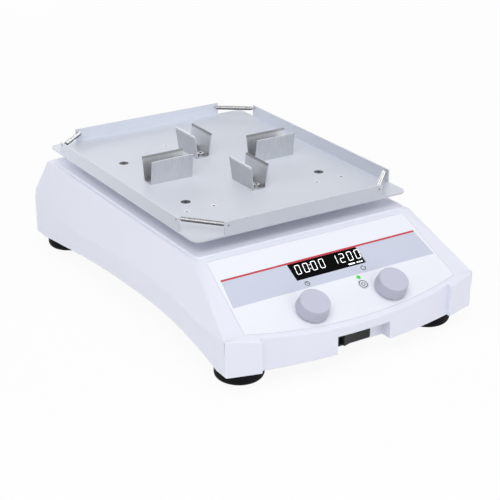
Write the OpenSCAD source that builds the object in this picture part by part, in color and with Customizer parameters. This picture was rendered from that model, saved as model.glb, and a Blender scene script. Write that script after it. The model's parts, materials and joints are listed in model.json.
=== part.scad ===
// Orbital shaker: a sloped-front housing under a sheet-metal tray that holds four microplates.
// Millimetres. X points right, Y points to the rear, Z points up from the bench.
// The origin lies on the bench, under the middle of the whole part.

/* [Housing] */
// Width across the lower side walls
body_w = 267; // [264:1:270]
// Depth from the rear wall to the middle of the bowed front
body_d = 407; // [405:1:409]
// Height of the top edge above the bench
top_z = 92; // [91:0.5:93]
// Width across the top edge
top_w = 235; // [233:1:237]
// Height at which the side walls start to lean in
side_kink_z = 51.5; // [50.5:0.5:52.5]
// Height at which the rear wall starts to lean in
rear_kink_z = 48; // [47:0.5:49]
// Distance that the rear wall leans in
rear_lean = 11; // [9:1:12]
// Radius of the rear corners
rear_corner_r = 14; // [12:1:16]
// Wall thickness of the moulding
wall = 3; // [2.75:0.25:3.25]
// Thickness of the side walls, which are hollowed along the skirt
side_wall = 5.5; // [5:0.25:6]
// Height of the raised deck under the tray
deck_h = 2; // [2:0.5:3]
// Width of the ledge beside the raised deck
deck_ledge = 3.5; // [3:0.5:4]

/* [Front] */
// Distance from the rear wall to the top edge of the front slope
slope_start = 314.5; // [313.5:0.5:315.5]
// Angle of the front slope
slope_angle = 28; // [27.5:0.25:28.5]
// Width of each front leg
leg_w = 32; // [31:0.5:33]
// Distance from the middle of the front back to the inner edge of a leg
leg_inner_back = 7; // [6.5:0.25:7.5]
// Distance that a leg's face sweeps back to the outer edge
leg_sweep = 9; // [8:0.5:10]
// Radius of the bowed front
fascia_r = 451; // [445:1:460]
// Width of the switch notch in the front
notch_w = 56; // [54:1:58]
// Height of the top of the switch notch
notch_z = 34; // [33:0.5:35]
// Depth of the switch notch
notch_depth = 12; // [11:0.5:13]

/* [Side arch] */
// Distance from the rear wall to the crown of the arch
arch_crown_u = 258; // [254:1:262]
// Height of the crown
arch_crown_z = 33; // [31:0.5:34]
// Distance from the rear wall to the rear end of the arch
arch_rear_u = 30; // [26:1:34]
// Distance from the rear wall to the front end of the arch
arch_front_u = 375; // [373:1:377]
// Depth of the hollowed skirt above the arch
skirt_depth = 2.5; // [1.5:0.25:2.5]
// Height of the crease that bounds the skirt
crease_z = 58; // [56:0.5:60]

/* [Panel] */
// Half width of the overlay at its top edge
overlay_top = 107.5; // [106:0.5:109]
// Half width of the overlay at its lower corners
overlay_low = 113; // [112:0.5:114]
// Thickness of the overlay sheet
overlay_t = 0.8; // [0.6:0.1:1]
// Width of the display window
display_w = 74.6; // [72:0.2:76]
// Height of the display window along the slope
display_h = 18.7; // [18:0.1:19.5]
// Distance of each knob from the middle
knob_x = 42.3; // [41.5:0.1:43]
// Distance of the knobs down the slope
knob_s = 79.5; // [79:0.25:80]
// Diameter of a knob at its base
knob_d = 30; // [28:0.5:31]
// Height of a knob
knob_h = 11.5; // [11:0.5:13]

/* [Feet] */
// Height of a foot, which is the clearance under the legs
foot_h = 17; // [16:0.5:18]
// Diameter of a foot
foot_d = 44.4; // [42:0.2:46]
// Distance of each foot from the middle
foot_x = 103; // [102:0.5:104]

/* [Tray] */
// Width of the tray
tray_w = 232; // [230:1:234]
// Depth of the tray
tray_d = 300; // [298:1:301]
// Thickness of the sheet
tray_t = 1.5; // [1.25:0.25:1.75]
// Height of the flanges above the underside of the sheet
flange_h = 14; // [13:0.5:14.5]
// Length of the front and rear flanges
flange_front = 172; // [168:1:174]
// Length of the side flanges
flange_side = 242; // [238:1:244]
// Height of the top of the tray floor
tray_z = 108; // [107.5:0.5:108.5]
// Half of the spacing of the tray screws across the tray
tray_screw_x = 75; // [74:0.5:76]
// Half of the spacing of the tray screws along the tray
tray_screw_y = 62; // [61:0.5:63]

/* [Clips] */
// Length of the front and rear clips
end_clip_l = 38.5; // [37:0.5:40]
// Length of the side clips
side_clip_l = 45; // [43:0.5:46]
// Height of a clip
clip_h = 24; // [22:0.5:25]
// Width of a clip at its base
clip_base = 14; // [13:0.5:15]
// Width of a clip at its top
clip_top = 20.5; // [19:0.5:22]
// Thickness of the clip sheet
clip_t = 1.2; // [1:0.1:1.2]

/* [Springs] */
// Diameter of the spring wire
wire_d = 0.8; // [0.7:0.05:0.85]
// Outer diameter of a coil
coil_d = 4.4; // [4:0.1:4.8]
// Number of curls in a spring
curls = 21; // [18:1:21]

/* [Drive] */
// Radius of the orbit
orbit_r = 1.5; // [1:0.25:1.5]
// Radius of the drive pulley
drive_pulley_r = 40; // [38:0.5:40]
// Radius of the motor pulley
motor_pulley_r = 14; // [13:0.5:14]
// Distance from the motor to the drive shaft
belt_centres = 100; // [99:0.5:101]
// Half of the spacing of the idler posts across the part
idler_x = 55; // [54:0.5:56]
// Half of the spacing of the idler posts along the part
idler_y = 58; // [57:0.5:59]

/* [Hidden] */
$fn = 64;
fine = 128;
arc_fn = 720;
e = 0.02;
lap = 2;

// Places along the part. u is the distance forward from the rear wall.
inlet_proud = 3;
y_rear = (body_d - inlet_proud) / 2;
y_front = y_rear - body_d;
function y_at(u) = y_rear - u;
half_w = body_w / 2;
leg_in = half_w - leg_w;
leg_inner_y = y_front + leg_inner_back;
leg_outer_y = leg_inner_y + leg_sweep;
side_lean = atan((body_w - top_w) / 2 / (top_z - side_kink_z));
rear_angle = atan(rear_lean / (top_z - rear_kink_z));
deck_z = top_z + deck_h;
deck_front_gap = 0.8;
deck_corner_r = 6;

// Drive axes: the tray stands one orbit radius to the right of the drive shaft at rest.
shaft_y = 40.5;
tray_x = orbit_r;
tray_y = shaft_y;
motor_y = shaft_y - belt_centres;
crank_ways = [[-1, -1], [1, -1], [-1, 1], [1, 1]];

// Heights of the drive train
pan_t = 1.5;
pan_z = 21;
pan_top = pan_z + pan_t;
pan_half = 82;
pan_rim_z = 40;
block_top = 50;
pulley_z = 53;
pulley_h = 12;
belt_z = 54.5;
belt_w = 9;
belt_t = 2;
weight_z = pulley_z + pulley_h;
weight_h = 12;
hub_top = 80;
carrier_z = 99.5;
tray_under = tray_z - tray_t;
hub_boss_z = 96.6;
hub_bearing_z = 97.4;
hub_bearing_h = 8;
post_top = 77;
crank_disc_z = 78;
crank_disc_h = 6;
bush_boss_z = 98.4;
bush_z = 98.8;
bush_h = 6.4;

// Radii of shafts, with the running clearance of a shaft in its bearing
run = 0.05;
seat = 0.02;
journal_r = 7.5;
hub_r = 12;
shoulder_r = 9;
pin_r = 6;
idler_r = 4;
idler_shoulder_r = 6.5;
idler_play = 0.3;
rotor_r = 4;
hub_hole_r = 16;
idler_hole_r = 12;

// Places on the front slope, measured down the slope from its top edge
overlay_s0 = 4;
overlay_s1 = 84.5;
overlay_s2 = 99;
overlay_gap = 0.3;
display_s = 37;
led_x = 20.5;
led_s = 59.7;
led_r = 2;
standby_x = 20.5;
standby_s = 68;
standby_r = 4.8;
board_under = 10;
board_t = 1.6;
board_w = 160;
board_s0 = 22;
board_s1 = 90;
board_post_x = 72;
board_post_s = [27, 86];
push_travel = 0.5;
knob_gap = 1.8;
encoder_w = 14;
encoder_top = 4.6;
plunger_r = 4;
knob_shaft_r = 3;

// Feet and their bosses
foot_u = [24, 364.5];
foot_boss_r = 18;
foot_boss_top = 52;
foot_edge_r = 5;
foot_screw_r = 2;
rib_t = 4;
rib_z = 42;

// Screws that hold the pan to the housing
pan_boss_x = 106;
pan_boss_u = [100, 250];
pan_boss_r = 5;

// Switch in the front notch
notch_back_u = body_d - notch_depth;
switch_x = -5.5;
switch_z = 26.3;
bezel_w = 36;
bezel_h = 13.5;
bezel_t = 2.5;
switch_body_w = 31.8;
switch_body_h = 12.4;
switch_depth = 16;
rocker_l = 28.4;
rocker_h = 10;
rocker_tilt = 8;
rocker_pin_r = 1.2;

// Mains inlet at the rear
inlet_x = 0;
inlet_z = 33;
inlet_flange_w = 64;
inlet_flange_h = 27;
inlet_body_w = 50;
inlet_body_h = 24;
inlet_depth = 28;
socket_x = -10.5;
socket_w = 24.5;
socket_h = 16.5;
socket_depth = 17;
socket_cut = 4.5;
drawer_x = 14.5;
drawer_w = 16;
drawer_h = 18;
drawer_depth = 22;
drawer_face = 1.6;
inlet_screw_x = 28.6;

// Places of the clip screws on the tray, from the tray's middle
clip_u = 52.5;
clip_v = 59;
end_screw_off = 13.5;
side_screw_off = 15;
clip_screw_at = [for (side = [-1, 1], way = [-1, 1])
    each [[0, side * clip_u + way * end_screw_off], [side * clip_v + way * side_screw_off, 0]]];
tray_screw_at = [for (way = crank_ways) [way[0] * tray_screw_x, way[1] * tray_screw_y]];

// Places of the spare hole pairs on the tray
pair_half = 14.3;
pair_front_x = 72;
pair_front_y = -84;
pair_rear_y = 86;
spare_hole_at = [for (side = [-1, 1])
    each [[-pair_front_x + side * pair_half, pair_front_y],
        [pair_front_x + side * pair_half, pair_front_y],
        [side * pair_half, pair_rear_y]]];
m4_hole_r = 2.1;
flush_head_r = 4.75;
flush_head_h = 2.4;
flush_gap = 0.1;

// Corners of the tray and ends of the springs
tray_corner_r = 9;
spring_inset = 4;
side_hole_z = tray_under + 12;
end_hole_z = tray_under + 10.2;
spring_hole_r = 0.9;
spring_lead = 0.8;
spring_tail = 0.6;
coil_taper = 0.75;
rings_per_curl = 8;
wire_sides = 6;

// Extrusion of an outline drawn in Y and Z, centred across the part
module along_x(length) {
    rotate([90, 0, 90])
        linear_extrude(length, center = true)
            children();
}

// Extrusion of an outline drawn in X and Z, from y0 to y1
module along_y(y0, y1) {
    translate([0, y1, 0])
        rotate([90, 0, 0])
            linear_extrude(y1 - y0)
                children();
}

// Placing on the front slope, with local Z out of the slope and local Y up the slope
module on_slope(x, s) {
    translate([x, y_at(slope_start), top_z])
        rotate([slope_angle, 0, 0])
            translate([0, -s, 0])
                children();
}

// A box between two corners
module span(low, high) {
    translate(low)
        cube(high - low);
}

// A ring along Z
module ring(z, h, r_out, r_in) {
    translate([0, 0, z])
        difference() {
            cylinder(r = r_out, h = h, $fn = fine);
            translate([0, 0, -1])
                cylinder(r = r_in, h = h + 2, $fn = fine);
        }
}

// A rectangle with round corners
module rounded(w, d, r) {
    square([w, d - 2 * r], center = true);
    square([w - 2 * r, d], center = true);
    for (sx = [-1, 1], sy = [-1, 1])
        translate([sx * (w / 2 - r), sy * (d / 2 - r)])
            circle(r = r);
}

// A socket-head screw along Z, with its head standing on z = 0
module screw(head_r, head_h, shank_r, shank_l) {
    socket_depth = head_h * 0.6;
    difference() {
        cylinder(r = head_r, h = head_h);
        translate([0, 0, head_h - socket_depth])
            cylinder(r = head_r * 0.5, h = head_h, $fn = 6);
    }
    translate([0, 0, -shank_l])
        cylinder(r = shank_r, h = shank_l + e);
}

// Housing outline from the side, drawn in from the outer skin by inset
module side_outline(inset, bottom) {
    top = top_z - inset;
    rear = y_rear - inset;
    rear_top = y_rear - (top - rear_kink_z) * tan(rear_angle) - inset / cos(rear_angle);
    slope_top = y_at(slope_start) + inset * tan(slope_angle / 2);
    front = y_front + inset;
    slope_drop = (y_at(slope_start) - front) * tan(slope_angle) + inset / cos(slope_angle);
    polygon([
        [rear, bottom],
        [rear, rear_kink_z - inset * tan(rear_angle / 2)],
        [rear_top, top],
        [slope_top, top],
        [front, top_z - slope_drop],
        [front, bottom]
    ]);
}

// Housing outline from the front, drawn in by inset
module front_outline(inset, bottom) {
    half = half_w - inset;
    kink = side_kink_z - inset * tan(side_lean / 2);
    half_top = half_w - (top_z - side_kink_z) * tan(side_lean) - inset / cos(side_lean);
    polygon([
        [-half, bottom],
        [half, bottom],
        [half, kink],
        [half_top, top_z],
        [-half_top, top_z],
        [-half, kink]
    ]);
}

// Housing outline from above, drawn in by inset
module plan_outline(inset) {
    half = half_w - inset;
    corner_x = half_w - rear_corner_r;
    corner_y = y_rear - rear_corner_r;
    translate([-half, leg_outer_y + inset])
        square([2 * half, corner_y - leg_outer_y - inset]);
    translate([-corner_x, corner_y - lap])
        square([2 * corner_x, rear_corner_r - inset + lap]);
    for (side = [-1, 1]) {
        translate([side * corner_x, corner_y])
            circle(r = rear_corner_r - inset);
        mirror([side > 0 ? 0 : 1, 0])
            polygon([
                [leg_in + inset, leg_outer_y + inset + lap],
                [leg_in + inset, leg_inner_y + inset],
                [half, leg_outer_y + inset],
                [half, leg_outer_y + inset + lap]
            ]);
    }
    intersection() {
        translate([0, y_front + fascia_r])
            circle(r = fascia_r - inset, $fn = arc_fn);
        translate([-leg_in, y_front])
            square([2 * leg_in, leg_outer_y - y_front + inset + lap]);
    }
}

// The body between its three outlines
module body_form(inset, side_inset, bottom) {
    intersection() {
        along_x(body_w + 2)
            side_outline(inset, bottom);
        along_y(y_front - 1, y_rear + 1)
            front_outline(side_inset, bottom);
        translate([0, 0, bottom])
            linear_extrude(top_z - bottom + 1)
                plan_outline(inset);
    }
}

// One half of an arched prism across the part, from its crown towards one end
module arch_half(crown_u, crown_z, end_u, base_z) {
    run_u = end_u - crown_u;
    rise = crown_z - base_z;
    arc_r = (run_u * run_u + rise * rise) / (2 * rise);
    past = sign(run_u) * body_d;
    intersection() {
        translate([0, y_at(crown_u), crown_z - arc_r])
            rotate([0, 90, 0])
                cylinder(r = arc_r, h = body_w + 20, center = true, $fn = arc_fn);
        span([-half_w - 5, min(y_at(crown_u), y_at(crown_u + past)), foot_h - 1],
            [half_w + 5, max(y_at(crown_u), y_at(crown_u + past)), crown_z + 1]);
    }
}

// The hollow of the skirt: bowed in plan, and bounded above by the crease
module skirt_hollow(side) {
    crease_crown_u = 250;
    crease_rear_u = 75;
    crease_front_u = 385;
    crease_end_z = 40;
    bow = crease_crown_u - crease_rear_u;
    steps = 24;
    bowed = [for (i = [0:steps])
        let (t = 2 * i / steps - 1)
            [half_w - skirt_depth * (1 - t * t), y_at(crease_crown_u - t * bow)]];
    outside = [[half_w + lap, y_at(crease_rear_u)], [half_w + lap, y_at(crease_crown_u + bow)]];
    intersection() {
        mirror([side > 0 ? 0 : 1, 0, 0])
            linear_extrude(top_z)
                polygon(concat(bowed, outside));
        union() {
            arch_half(crease_crown_u, crease_z, crease_rear_u, crease_end_z);
            arch_half(crease_crown_u, crease_z, crease_front_u, crease_end_z);
        }
    }
}

// Outline of the overlay sheet in the slope's own plane
module overlay_outline(gap) {
    low_r = (overlay_low * overlay_low + pow(overlay_s2 - overlay_s1, 2)) / (2 * (overlay_s2 - overlay_s1));
    spread = (overlay_low - overlay_top) / (overlay_s1 - overlay_s0);
    reach = overlay_s2 + 5;
    intersection() {
        polygon([
            [-overlay_top - gap, -overlay_s0 + gap],
            [overlay_top + gap, -overlay_s0 + gap],
            [overlay_top + gap + spread * (reach - overlay_s0), -reach],
            [-overlay_top - gap - spread * (reach - overlay_s0), -reach]
        ]);
        translate([0, low_r - overlay_s2])
            circle(r = low_r + gap, $fn = arc_fn);
    }
}

// Holes through the panel for the controls, grown by gap
module panel_holes(gap, depth) {
    on_slope(0, display_s)
        translate([-display_w / 2 - gap, -display_h / 2 - gap, -depth])
            cube([display_w + 2 * gap, display_h + 2 * gap, depth + 1]);
    control_bores(gap, depth);
}

// Round holes through the panel for the knob shafts, the standby button and the lamp
module control_bores(gap, depth) {
    for (side = [-1, 1])
        on_slope(side * knob_x, knob_s)
            translate([0, 0, -depth])
                cylinder(r = plunger_r + 0.6, h = depth + 1);
    on_slope(standby_x, standby_s)
        translate([0, 0, -depth])
            cylinder(r = standby_r + gap, h = depth + 1);
    on_slope(led_x, led_s)
        translate([0, 0, -depth])
            cylinder(r = led_r + 0.1, h = depth + 1);
}

// Bosses in the housing for the feet, the pan and the control board
module housing_bosses() {
    for (side = [-1, 1]) {
        for (u = foot_u) {
            wall_y = u < body_d / 2 ? y_rear - wall / 2 : leg_inner_y + leg_sweep / 2 + wall / 2;
            translate([side * foot_x, y_at(u), foot_h])
                cylinder(r = foot_boss_r, h = foot_boss_top - foot_h);
            span([side > 0 ? foot_x : -half_w + wall, y_at(u) - rib_t / 2, rib_z],
                [side > 0 ? half_w - wall : -foot_x, y_at(u) + rib_t / 2, foot_boss_top - 1]);
            span([side * foot_x - rib_t / 2, min(wall_y, y_at(u)), rib_z],
                [side * foot_x + rib_t / 2, max(wall_y, y_at(u)), foot_boss_top - 2]);
        }
        for (u = pan_boss_u)
            translate([side * pan_boss_x, y_at(u), pan_rim_z])
                cylinder(r = pan_boss_r, h = top_z - wall / 2 - pan_rim_z);
        for (s = board_post_s)
            on_slope(side * board_post_x, s)
                translate([0, 0, -board_under])
                    cylinder(r = 3.5, h = board_under - wall / 2);
    }
}

// Blind holes in those bosses
module housing_boss_holes() {
    for (side = [-1, 1]) {
        for (u = foot_u)
            translate([side * foot_x, y_at(u), foot_h - 1])
                cylinder(r = foot_screw_r + seat, h = 20);
        for (u = pan_boss_u)
            translate([side * pan_boss_x, y_at(u), pan_rim_z - 1])
                cylinder(r = 1.5 + seat, h = 14);
    }
}

// Holes in the deck around the drive pin and the idler pins
module deck_holes() {
    translate([0, shaft_y, top_z - wall - 2])
        cylinder(r = hub_hole_r, h = 20);
    for (way = crank_ways)
        translate([way[0] * idler_x, shaft_y + way[1] * idler_y, top_z - wall - 2])
            cylinder(r = idler_hole_r, h = 20);
}

// Raised deck on the top face
module deck(inset, z0, z1) {
    rear_y = y_at(rear_lean + deck_ledge);
    front_y = y_at(slope_start - deck_front_gap);
    translate([0, (rear_y + front_y) / 2, z0])
        linear_extrude(z1 - z0)
            rounded(top_w - 2 * deck_ledge - 2 * inset, rear_y - front_y - 2 * inset, deck_corner_r);
}

module housing_shell() {
    notch_top = notch_z + wall;
    color("ghostwhite")
        difference() {
            union() {
                difference() {
                    union() {
                        body_form(0, 0, foot_h);
                        deck(0, top_z - e, deck_z);
                    }
                    body_form(wall, side_wall, foot_h - 1);
                    deck(2 * wall, top_z - wall - 1, deck_z - wall);
                    arch_half(arch_crown_u, arch_crown_z, arch_rear_u, foot_h);
                    arch_half(arch_crown_u, arch_crown_z, arch_front_u, foot_h);
                    skirt_hollow(-1);
                    skirt_hollow(1);
                }
                housing_bosses();
                span([-notch_w / 2 - wall, y_at(notch_back_u), foot_h],
                    [notch_w / 2 + wall, y_at(notch_back_u - wall), notch_top]);
                span([-notch_w / 2 - wall, y_front + 2, foot_h],
                    [notch_w / 2 + wall, y_at(notch_back_u) + e, notch_top]);
            }
            housing_boss_holes();
            deck_holes();
            span([-notch_w / 2, y_front - 5, foot_h - 5], [notch_w / 2, y_at(notch_back_u), notch_z]);
            translate([switch_x, y_at(notch_back_u), switch_z])
                cube([switch_body_w + 0.2, 4 * wall, switch_body_h + 0.2], center = true);
            translate([inlet_x, y_rear, inlet_z])
                cube([inlet_body_w + 0.2, 4 * wall, inlet_body_h + 0.2], center = true);
            for (side = [-1, 1])
                translate([inlet_x + side * inlet_screw_x, y_rear + 1, inlet_z])
                    rotate([90, 0, 0])
                        cylinder(r = 1.5 + seat, h = 2 * wall);
            on_slope(0, 0)
                translate([0, 0, -overlay_t])
                    linear_extrude(2)
                        overlay_outline(overlay_gap);
            on_slope(0, display_s)
                cube([display_w - 4, display_h - 2, 4 * wall], center = true);
            control_bores(0.3, 3 * wall);
        }
}

module panel_overlay() {
    color("white")
        difference() {
            on_slope(0, 0)
                translate([0, 0, -overlay_t])
                    linear_extrude(overlay_t)
                        overlay_outline(0);
            panel_holes(0.3, 2);
        }
}

module display_window() {
    color("black")
        on_slope(0, display_s)
            translate([-display_w / 2, -display_h / 2, -overlay_t])
                cube([display_w, display_h, overlay_t]);
}

module display_module() {
    face_w = display_w - 5;
    face_h = display_h - 3;
    color("dimgray")
        on_slope(0, display_s) {
            translate([-face_w / 2, -face_h / 2, -wall - 1])
                cube([face_w, face_h, wall + 1 - overlay_t - 0.1]);
            translate([-display_w / 2, -display_h / 2, -board_under])
                cube([display_w, display_h, board_under - wall - 0.2]);
        }
}

module control_board() {
    color("seagreen")
        on_slope(0, 0)
            translate([0, 0, -board_under - board_t])
                difference() {
                    translate([-board_w / 2, -board_s1, 0])
                        cube([board_w, board_s1 - board_s0, board_t]);
                    for (side = [-1, 1], s = board_post_s)
                        translate([side * board_post_x, -s, -1])
                            cylinder(r = 1.6, h = 4);
                }
}

// Body of a push-and-turn control, with a bore for its plunger
module encoder(side) {
    on_slope(side * knob_x, knob_s)
        difference() {
            translate([-encoder_w / 2, -encoder_w / 2, -board_under])
                cube([encoder_w, encoder_w, board_under - encoder_top]);
            translate([0, 0, -board_under + 0.6])
                cylinder(r = plunger_r + run, h = board_under);
        }
}

module left_encoder() {
    color("darkslategray")
        encoder(-1);
}

module right_encoder() {
    color("darkslategray")
        encoder(1);
}

// Sleeve that a knob pushes down
module plunger(side) {
    on_slope(side * knob_x, knob_s)
        ring(-board_under + 1.2, board_under - encoder_top - 0.6, plunger_r, knob_shaft_r + run);
}

module left_plunger() {
    color("silver")
        plunger(-1);
}

module right_plunger() {
    color("silver")
        plunger(1);
}

// Turned knob with a slight taper, a rounded top edge and a shaft
module knob(side) {
    base_r = knob_d / 2;
    top_r = base_r - 1.1;
    edge_r = 1.2;
    on_slope(side * knob_x, knob_s) {
        translate([0, 0, knob_gap])
            rotate_extrude($fn = fine) {
                polygon([
                    [0, 0],
                    [base_r - 0.4, 0],
                    [base_r, 0.4],
                    [top_r, knob_h - edge_r],
                    [top_r - edge_r, knob_h],
                    [0, knob_h]
                ]);
                translate([top_r - edge_r, knob_h - edge_r])
                    circle(r = edge_r);
            }
        translate([0, 0, -board_under + 1.8])
            cylinder(r = knob_shaft_r, h = board_under + knob_gap);
    }
}

module left_knob() {
    color("lavender")
        knob(-1);
}

module right_knob() {
    color("lavender")
        knob(1);
}

module standby_switch() {
    color("dimgray")
        on_slope(standby_x, standby_s)
            translate([-3, -3, -board_under]) {
                cube([6, 6, 3]);
                translate([3, 3, 3 - e])
                    cylinder(r = 1.7, h = 0.8);
            }
}

module standby_button() {
    cap_proud = 0.3;
    stem_end = board_under - 4.2;
    color("whitesmoke")
        on_slope(standby_x, standby_s) {
            translate([0, 0, -wall])
                cylinder(r = standby_r, h = wall + cap_proud);
            translate([0, 0, -stem_end])
                cylinder(r = 2.2, h = stem_end - wall + e);
        }
}

module led_lens() {
    color("lime")
        on_slope(led_x, led_s) {
            translate([0, 0, -board_under])
                cylinder(r = led_r, h = board_under + 0.2);
        }
}

module base_pan() {
    rim_rear_u = 8;
    rim_front_u = 382;
    floor_rear_u = 34;
    floor_front_u = 375;
    rim_half = half_w - side_wall - 1.5;
    vent_u = 334;
    vent_l = 34;
    vent_w = 3;
    vent_step = 9;
    color("gainsboro")
        difference() {
            union() {
                span([-pan_half, y_at(floor_front_u), pan_z], [pan_half, y_at(floor_rear_u), pan_rim_z]);
                span([-rim_half, y_at(rim_front_u), pan_rim_z - pan_t],
                    [rim_half, y_at(rim_rear_u), pan_rim_z]);
            }
            span([-pan_half + pan_t, y_at(floor_front_u) + pan_t, pan_top],
                [pan_half - pan_t, y_at(floor_rear_u) - pan_t, pan_rim_z + 1]);
            span([-inlet_flange_w / 2 - 1, y_at(floor_rear_u), pan_z],
                [inlet_flange_w / 2 + 1, y_rear, pan_rim_z + 1]);
            for (side = [-1, 1]) {
                for (u = foot_u)
                    translate([side * foot_x, y_at(u), pan_z])
                        cylinder(r = foot_boss_r + 1.5, h = 40);
                for (u = pan_boss_u)
                    translate([side * pan_boss_x, y_at(u), pan_z])
                        cylinder(r = 1.7, h = 40);
                for (way = [-1, 1])
                    translate([side * idler_x, shaft_y + way * idler_y, pan_z - 1])
                        pan_bolt_holes(17, 2);
            }
            translate([0, shaft_y, pan_z - 1])
                pan_bolt_holes(29, 4);
            translate([0, motor_y, pan_z - 1])
                pan_bolt_holes(42.5, 4);
            for (i = [-4:4])
                span([i * vent_step - vent_w / 2, y_at(vent_u + vent_l), pan_z - 1],
                    [i * vent_step + vent_w / 2, y_at(vent_u), pan_top + 1]);
        }
}

// A ring of through holes for frame screws
module pan_bolt_holes(ring_r, count) {
    for (i = [0:count - 1])
        rotate([0, 0, 45 + i * 360 / count])
            translate([ring_r, 0, 0])
                cylinder(r = 2 + run, h = 12);
}

module pan_screws() {
    color("silver")
        for (side = [-1, 1], u = pan_boss_u)
            translate([side * pan_boss_x, y_at(u), pan_rim_z - pan_t])
                rotate([180, 0, 0])
                    screw(2.8, 2.2, 1.5, 11);
}

// Rubber foot with a rounded lower edge and a recess for its screw
module foot(side, u) {
    foot_r = foot_d / 2;
    recess_r = 8;
    recess_h = 8;
    translate([side * foot_x, y_at(u), 0])
        difference() {
            rotate_extrude($fn = fine) {
                square([foot_r - foot_edge_r, foot_h]);
                translate([0, foot_edge_r])
                    square([foot_r, foot_h - foot_edge_r]);
                translate([foot_r - foot_edge_r, foot_edge_r])
                    circle(r = foot_edge_r);
            }
            translate([0, 0, -1])
                cylinder(r = recess_r, h = recess_h + 1);
            cylinder(r = foot_screw_r + 0.4, h = foot_h + 1);
        }
}

module front_left_foot() {
    color("black")
        foot(-1, foot_u[1]);
}

module front_right_foot() {
    color("black")
        foot(1, foot_u[1]);
}

module rear_left_foot() {
    color("black")
        foot(-1, foot_u[0]);
}

module rear_right_foot() {
    color("black")
        foot(1, foot_u[0]);
}

module foot_screws() {
    color("silver")
        for (side = [-1, 1], u = foot_u)
            translate([side * foot_x, y_at(u), 8])
                rotate([180, 0, 0])
                    screw(6, 3, foot_screw_r, 25);
}

module drive_block() {
    flange_h = 6;
    color("silver")
        translate([0, shaft_y, 0])
            difference() {
                union() {
                    translate([0, 0, pan_top])
                        cylinder(r = 34, h = flange_h);
                    translate([0, 0, pan_top])
                        cylinder(r = 24, h = block_top - pan_top);
                }
                translate([0, 0, pan_top + 3])
                    cylinder(r = 16 + seat, h = 40);
                translate([0, 0, pan_top - 1])
                    pan_bolt_holes(29, 4);
            }
}

module drive_bearings() {
    color("lightsteelblue")
        translate([0, shaft_y, 0])
            for (z = [block_top - 23, block_top - 9])
                ring(z, 9, 16, journal_r + run);
}

module drive_shaft() {
    color("lightgray")
        translate([0, shaft_y, 0]) {
            translate([0, 0, pan_top + 3.5])
                cylinder(r = journal_r, h = pulley_z - pan_top - 3.5, $fn = fine);
            translate([0, 0, block_top + 0.6])
                cylinder(r = hub_r + 2, h = pulley_z - block_top - 0.6, $fn = fine);
            translate([0, 0, pulley_z - e])
                cylinder(r = hub_r, h = hub_top - pulley_z + e, $fn = fine);
            translate([orbit_r, 0, hub_top - e])
                cylinder(r = shoulder_r, h = hub_bearing_z - 0.2 - hub_top + e, $fn = fine);
            translate([orbit_r, 0, hub_bearing_z - 1])
                cylinder(r = pin_r, h = hub_bearing_h + 1, $fn = fine);
        }
}

// A flanged belt pulley
module pulley(r, lip, bore_r) {
    lip_t = 1;
    difference() {
        union() {
            cylinder(r = r, h = pulley_h, $fn = fine);
            cylinder(r = r + lip, h = lip_t, $fn = fine);
            translate([0, 0, pulley_h - lip_t])
                cylinder(r = r + lip, h = lip_t, $fn = fine);
        }
        translate([0, 0, -1])
            cylinder(r = bore_r, h = pulley_h + 2, $fn = fine);
    }
}

module drive_pulley() {
    color("dimgray")
        translate([0, shaft_y, pulley_z])
            pulley(drive_pulley_r, 3, hub_r + seat);
}

module counterweight() {
    weight_r = 44;
    color("slategray")
        translate([0, shaft_y, weight_z])
            difference() {
                union() {
                    cylinder(r = 18, h = weight_h, $fn = fine);
                    intersection() {
                        cylinder(r = weight_r, h = weight_h, $fn = fine);
                        translate([-weight_r, -weight_r, 0])
                            cube([weight_r, 2 * weight_r, weight_h]);
                    }
                }
                translate([0, 0, -1])
                    cylinder(r = hub_r + seat, h = weight_h + 2, $fn = fine);
            }
}

// Outline of a loop around the two pulleys, standing off from them by gap
module belt_outline(gap) {
    r1 = drive_pulley_r + gap;
    r2 = motor_pulley_r + gap;
    a = asin((r1 - r2) / belt_centres);
    translate([0, shaft_y])
        circle(r = r1, $fn = fine);
    translate([0, motor_y])
        circle(r = r2, $fn = fine);
    polygon([
        [-r1 * cos(a), shaft_y - r1 * sin(a)],
        [-r2 * cos(a), motor_y - r2 * sin(a)],
        [r2 * cos(a), motor_y - r2 * sin(a)],
        [r1 * cos(a), shaft_y - r1 * sin(a)]
    ]);
}

module drive_belt() {
    color("black")
        translate([0, 0, belt_z])
            linear_extrude(belt_w)
                difference() {
                    belt_outline(0.4 + belt_t);
                    belt_outline(0.4);
                }
}

module motor_case() {
    case_r = 39;
    case_top = 47;
    skin = 2.5;
    ear_h = 3;
    color("darkgray")
        translate([0, motor_y, 0])
            difference() {
                union() {
                    translate([0, 0, pan_top])
                        cylinder(r = 46.5, h = ear_h);
                    translate([0, 0, pan_top])
                        cylinder(r = case_r, h = case_top - pan_top);
                }
                translate([0, 0, pan_top + skin])
                    cylinder(r = case_r - skin, h = case_top - pan_top - 2 * skin);
                translate([0, 0, pan_top - 1])
                    cylinder(r = rotor_r + run, h = 40);
                translate([0, 0, pan_top - 1])
                    pan_bolt_holes(42.5, 4);
            }
}

module motor_rotor() {
    color("sienna")
        translate([0, motor_y, 0]) {
            translate([0, 0, pan_top + 0.5])
                cylinder(r = rotor_r, h = pulley_z + pulley_h - pan_top + 1, $fn = fine);
            translate([0, 0, pan_top + 4.5])
                cylinder(r = 31, h = 15.5);
        }
}

module motor_pulley() {
    color("dimgray")
        translate([0, motor_y, pulley_z])
            pulley(motor_pulley_r, 3, rotor_r + seat);
}

module motor_screws() {
    color("silver")
        translate([0, motor_y, pan_top + 3])
            for (i = [0:3])
                rotate([0, 0, 45 + i * 90])
                    translate([42.5, 0, 0])
                        screw(3, 3, 2, 6);
}

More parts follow.
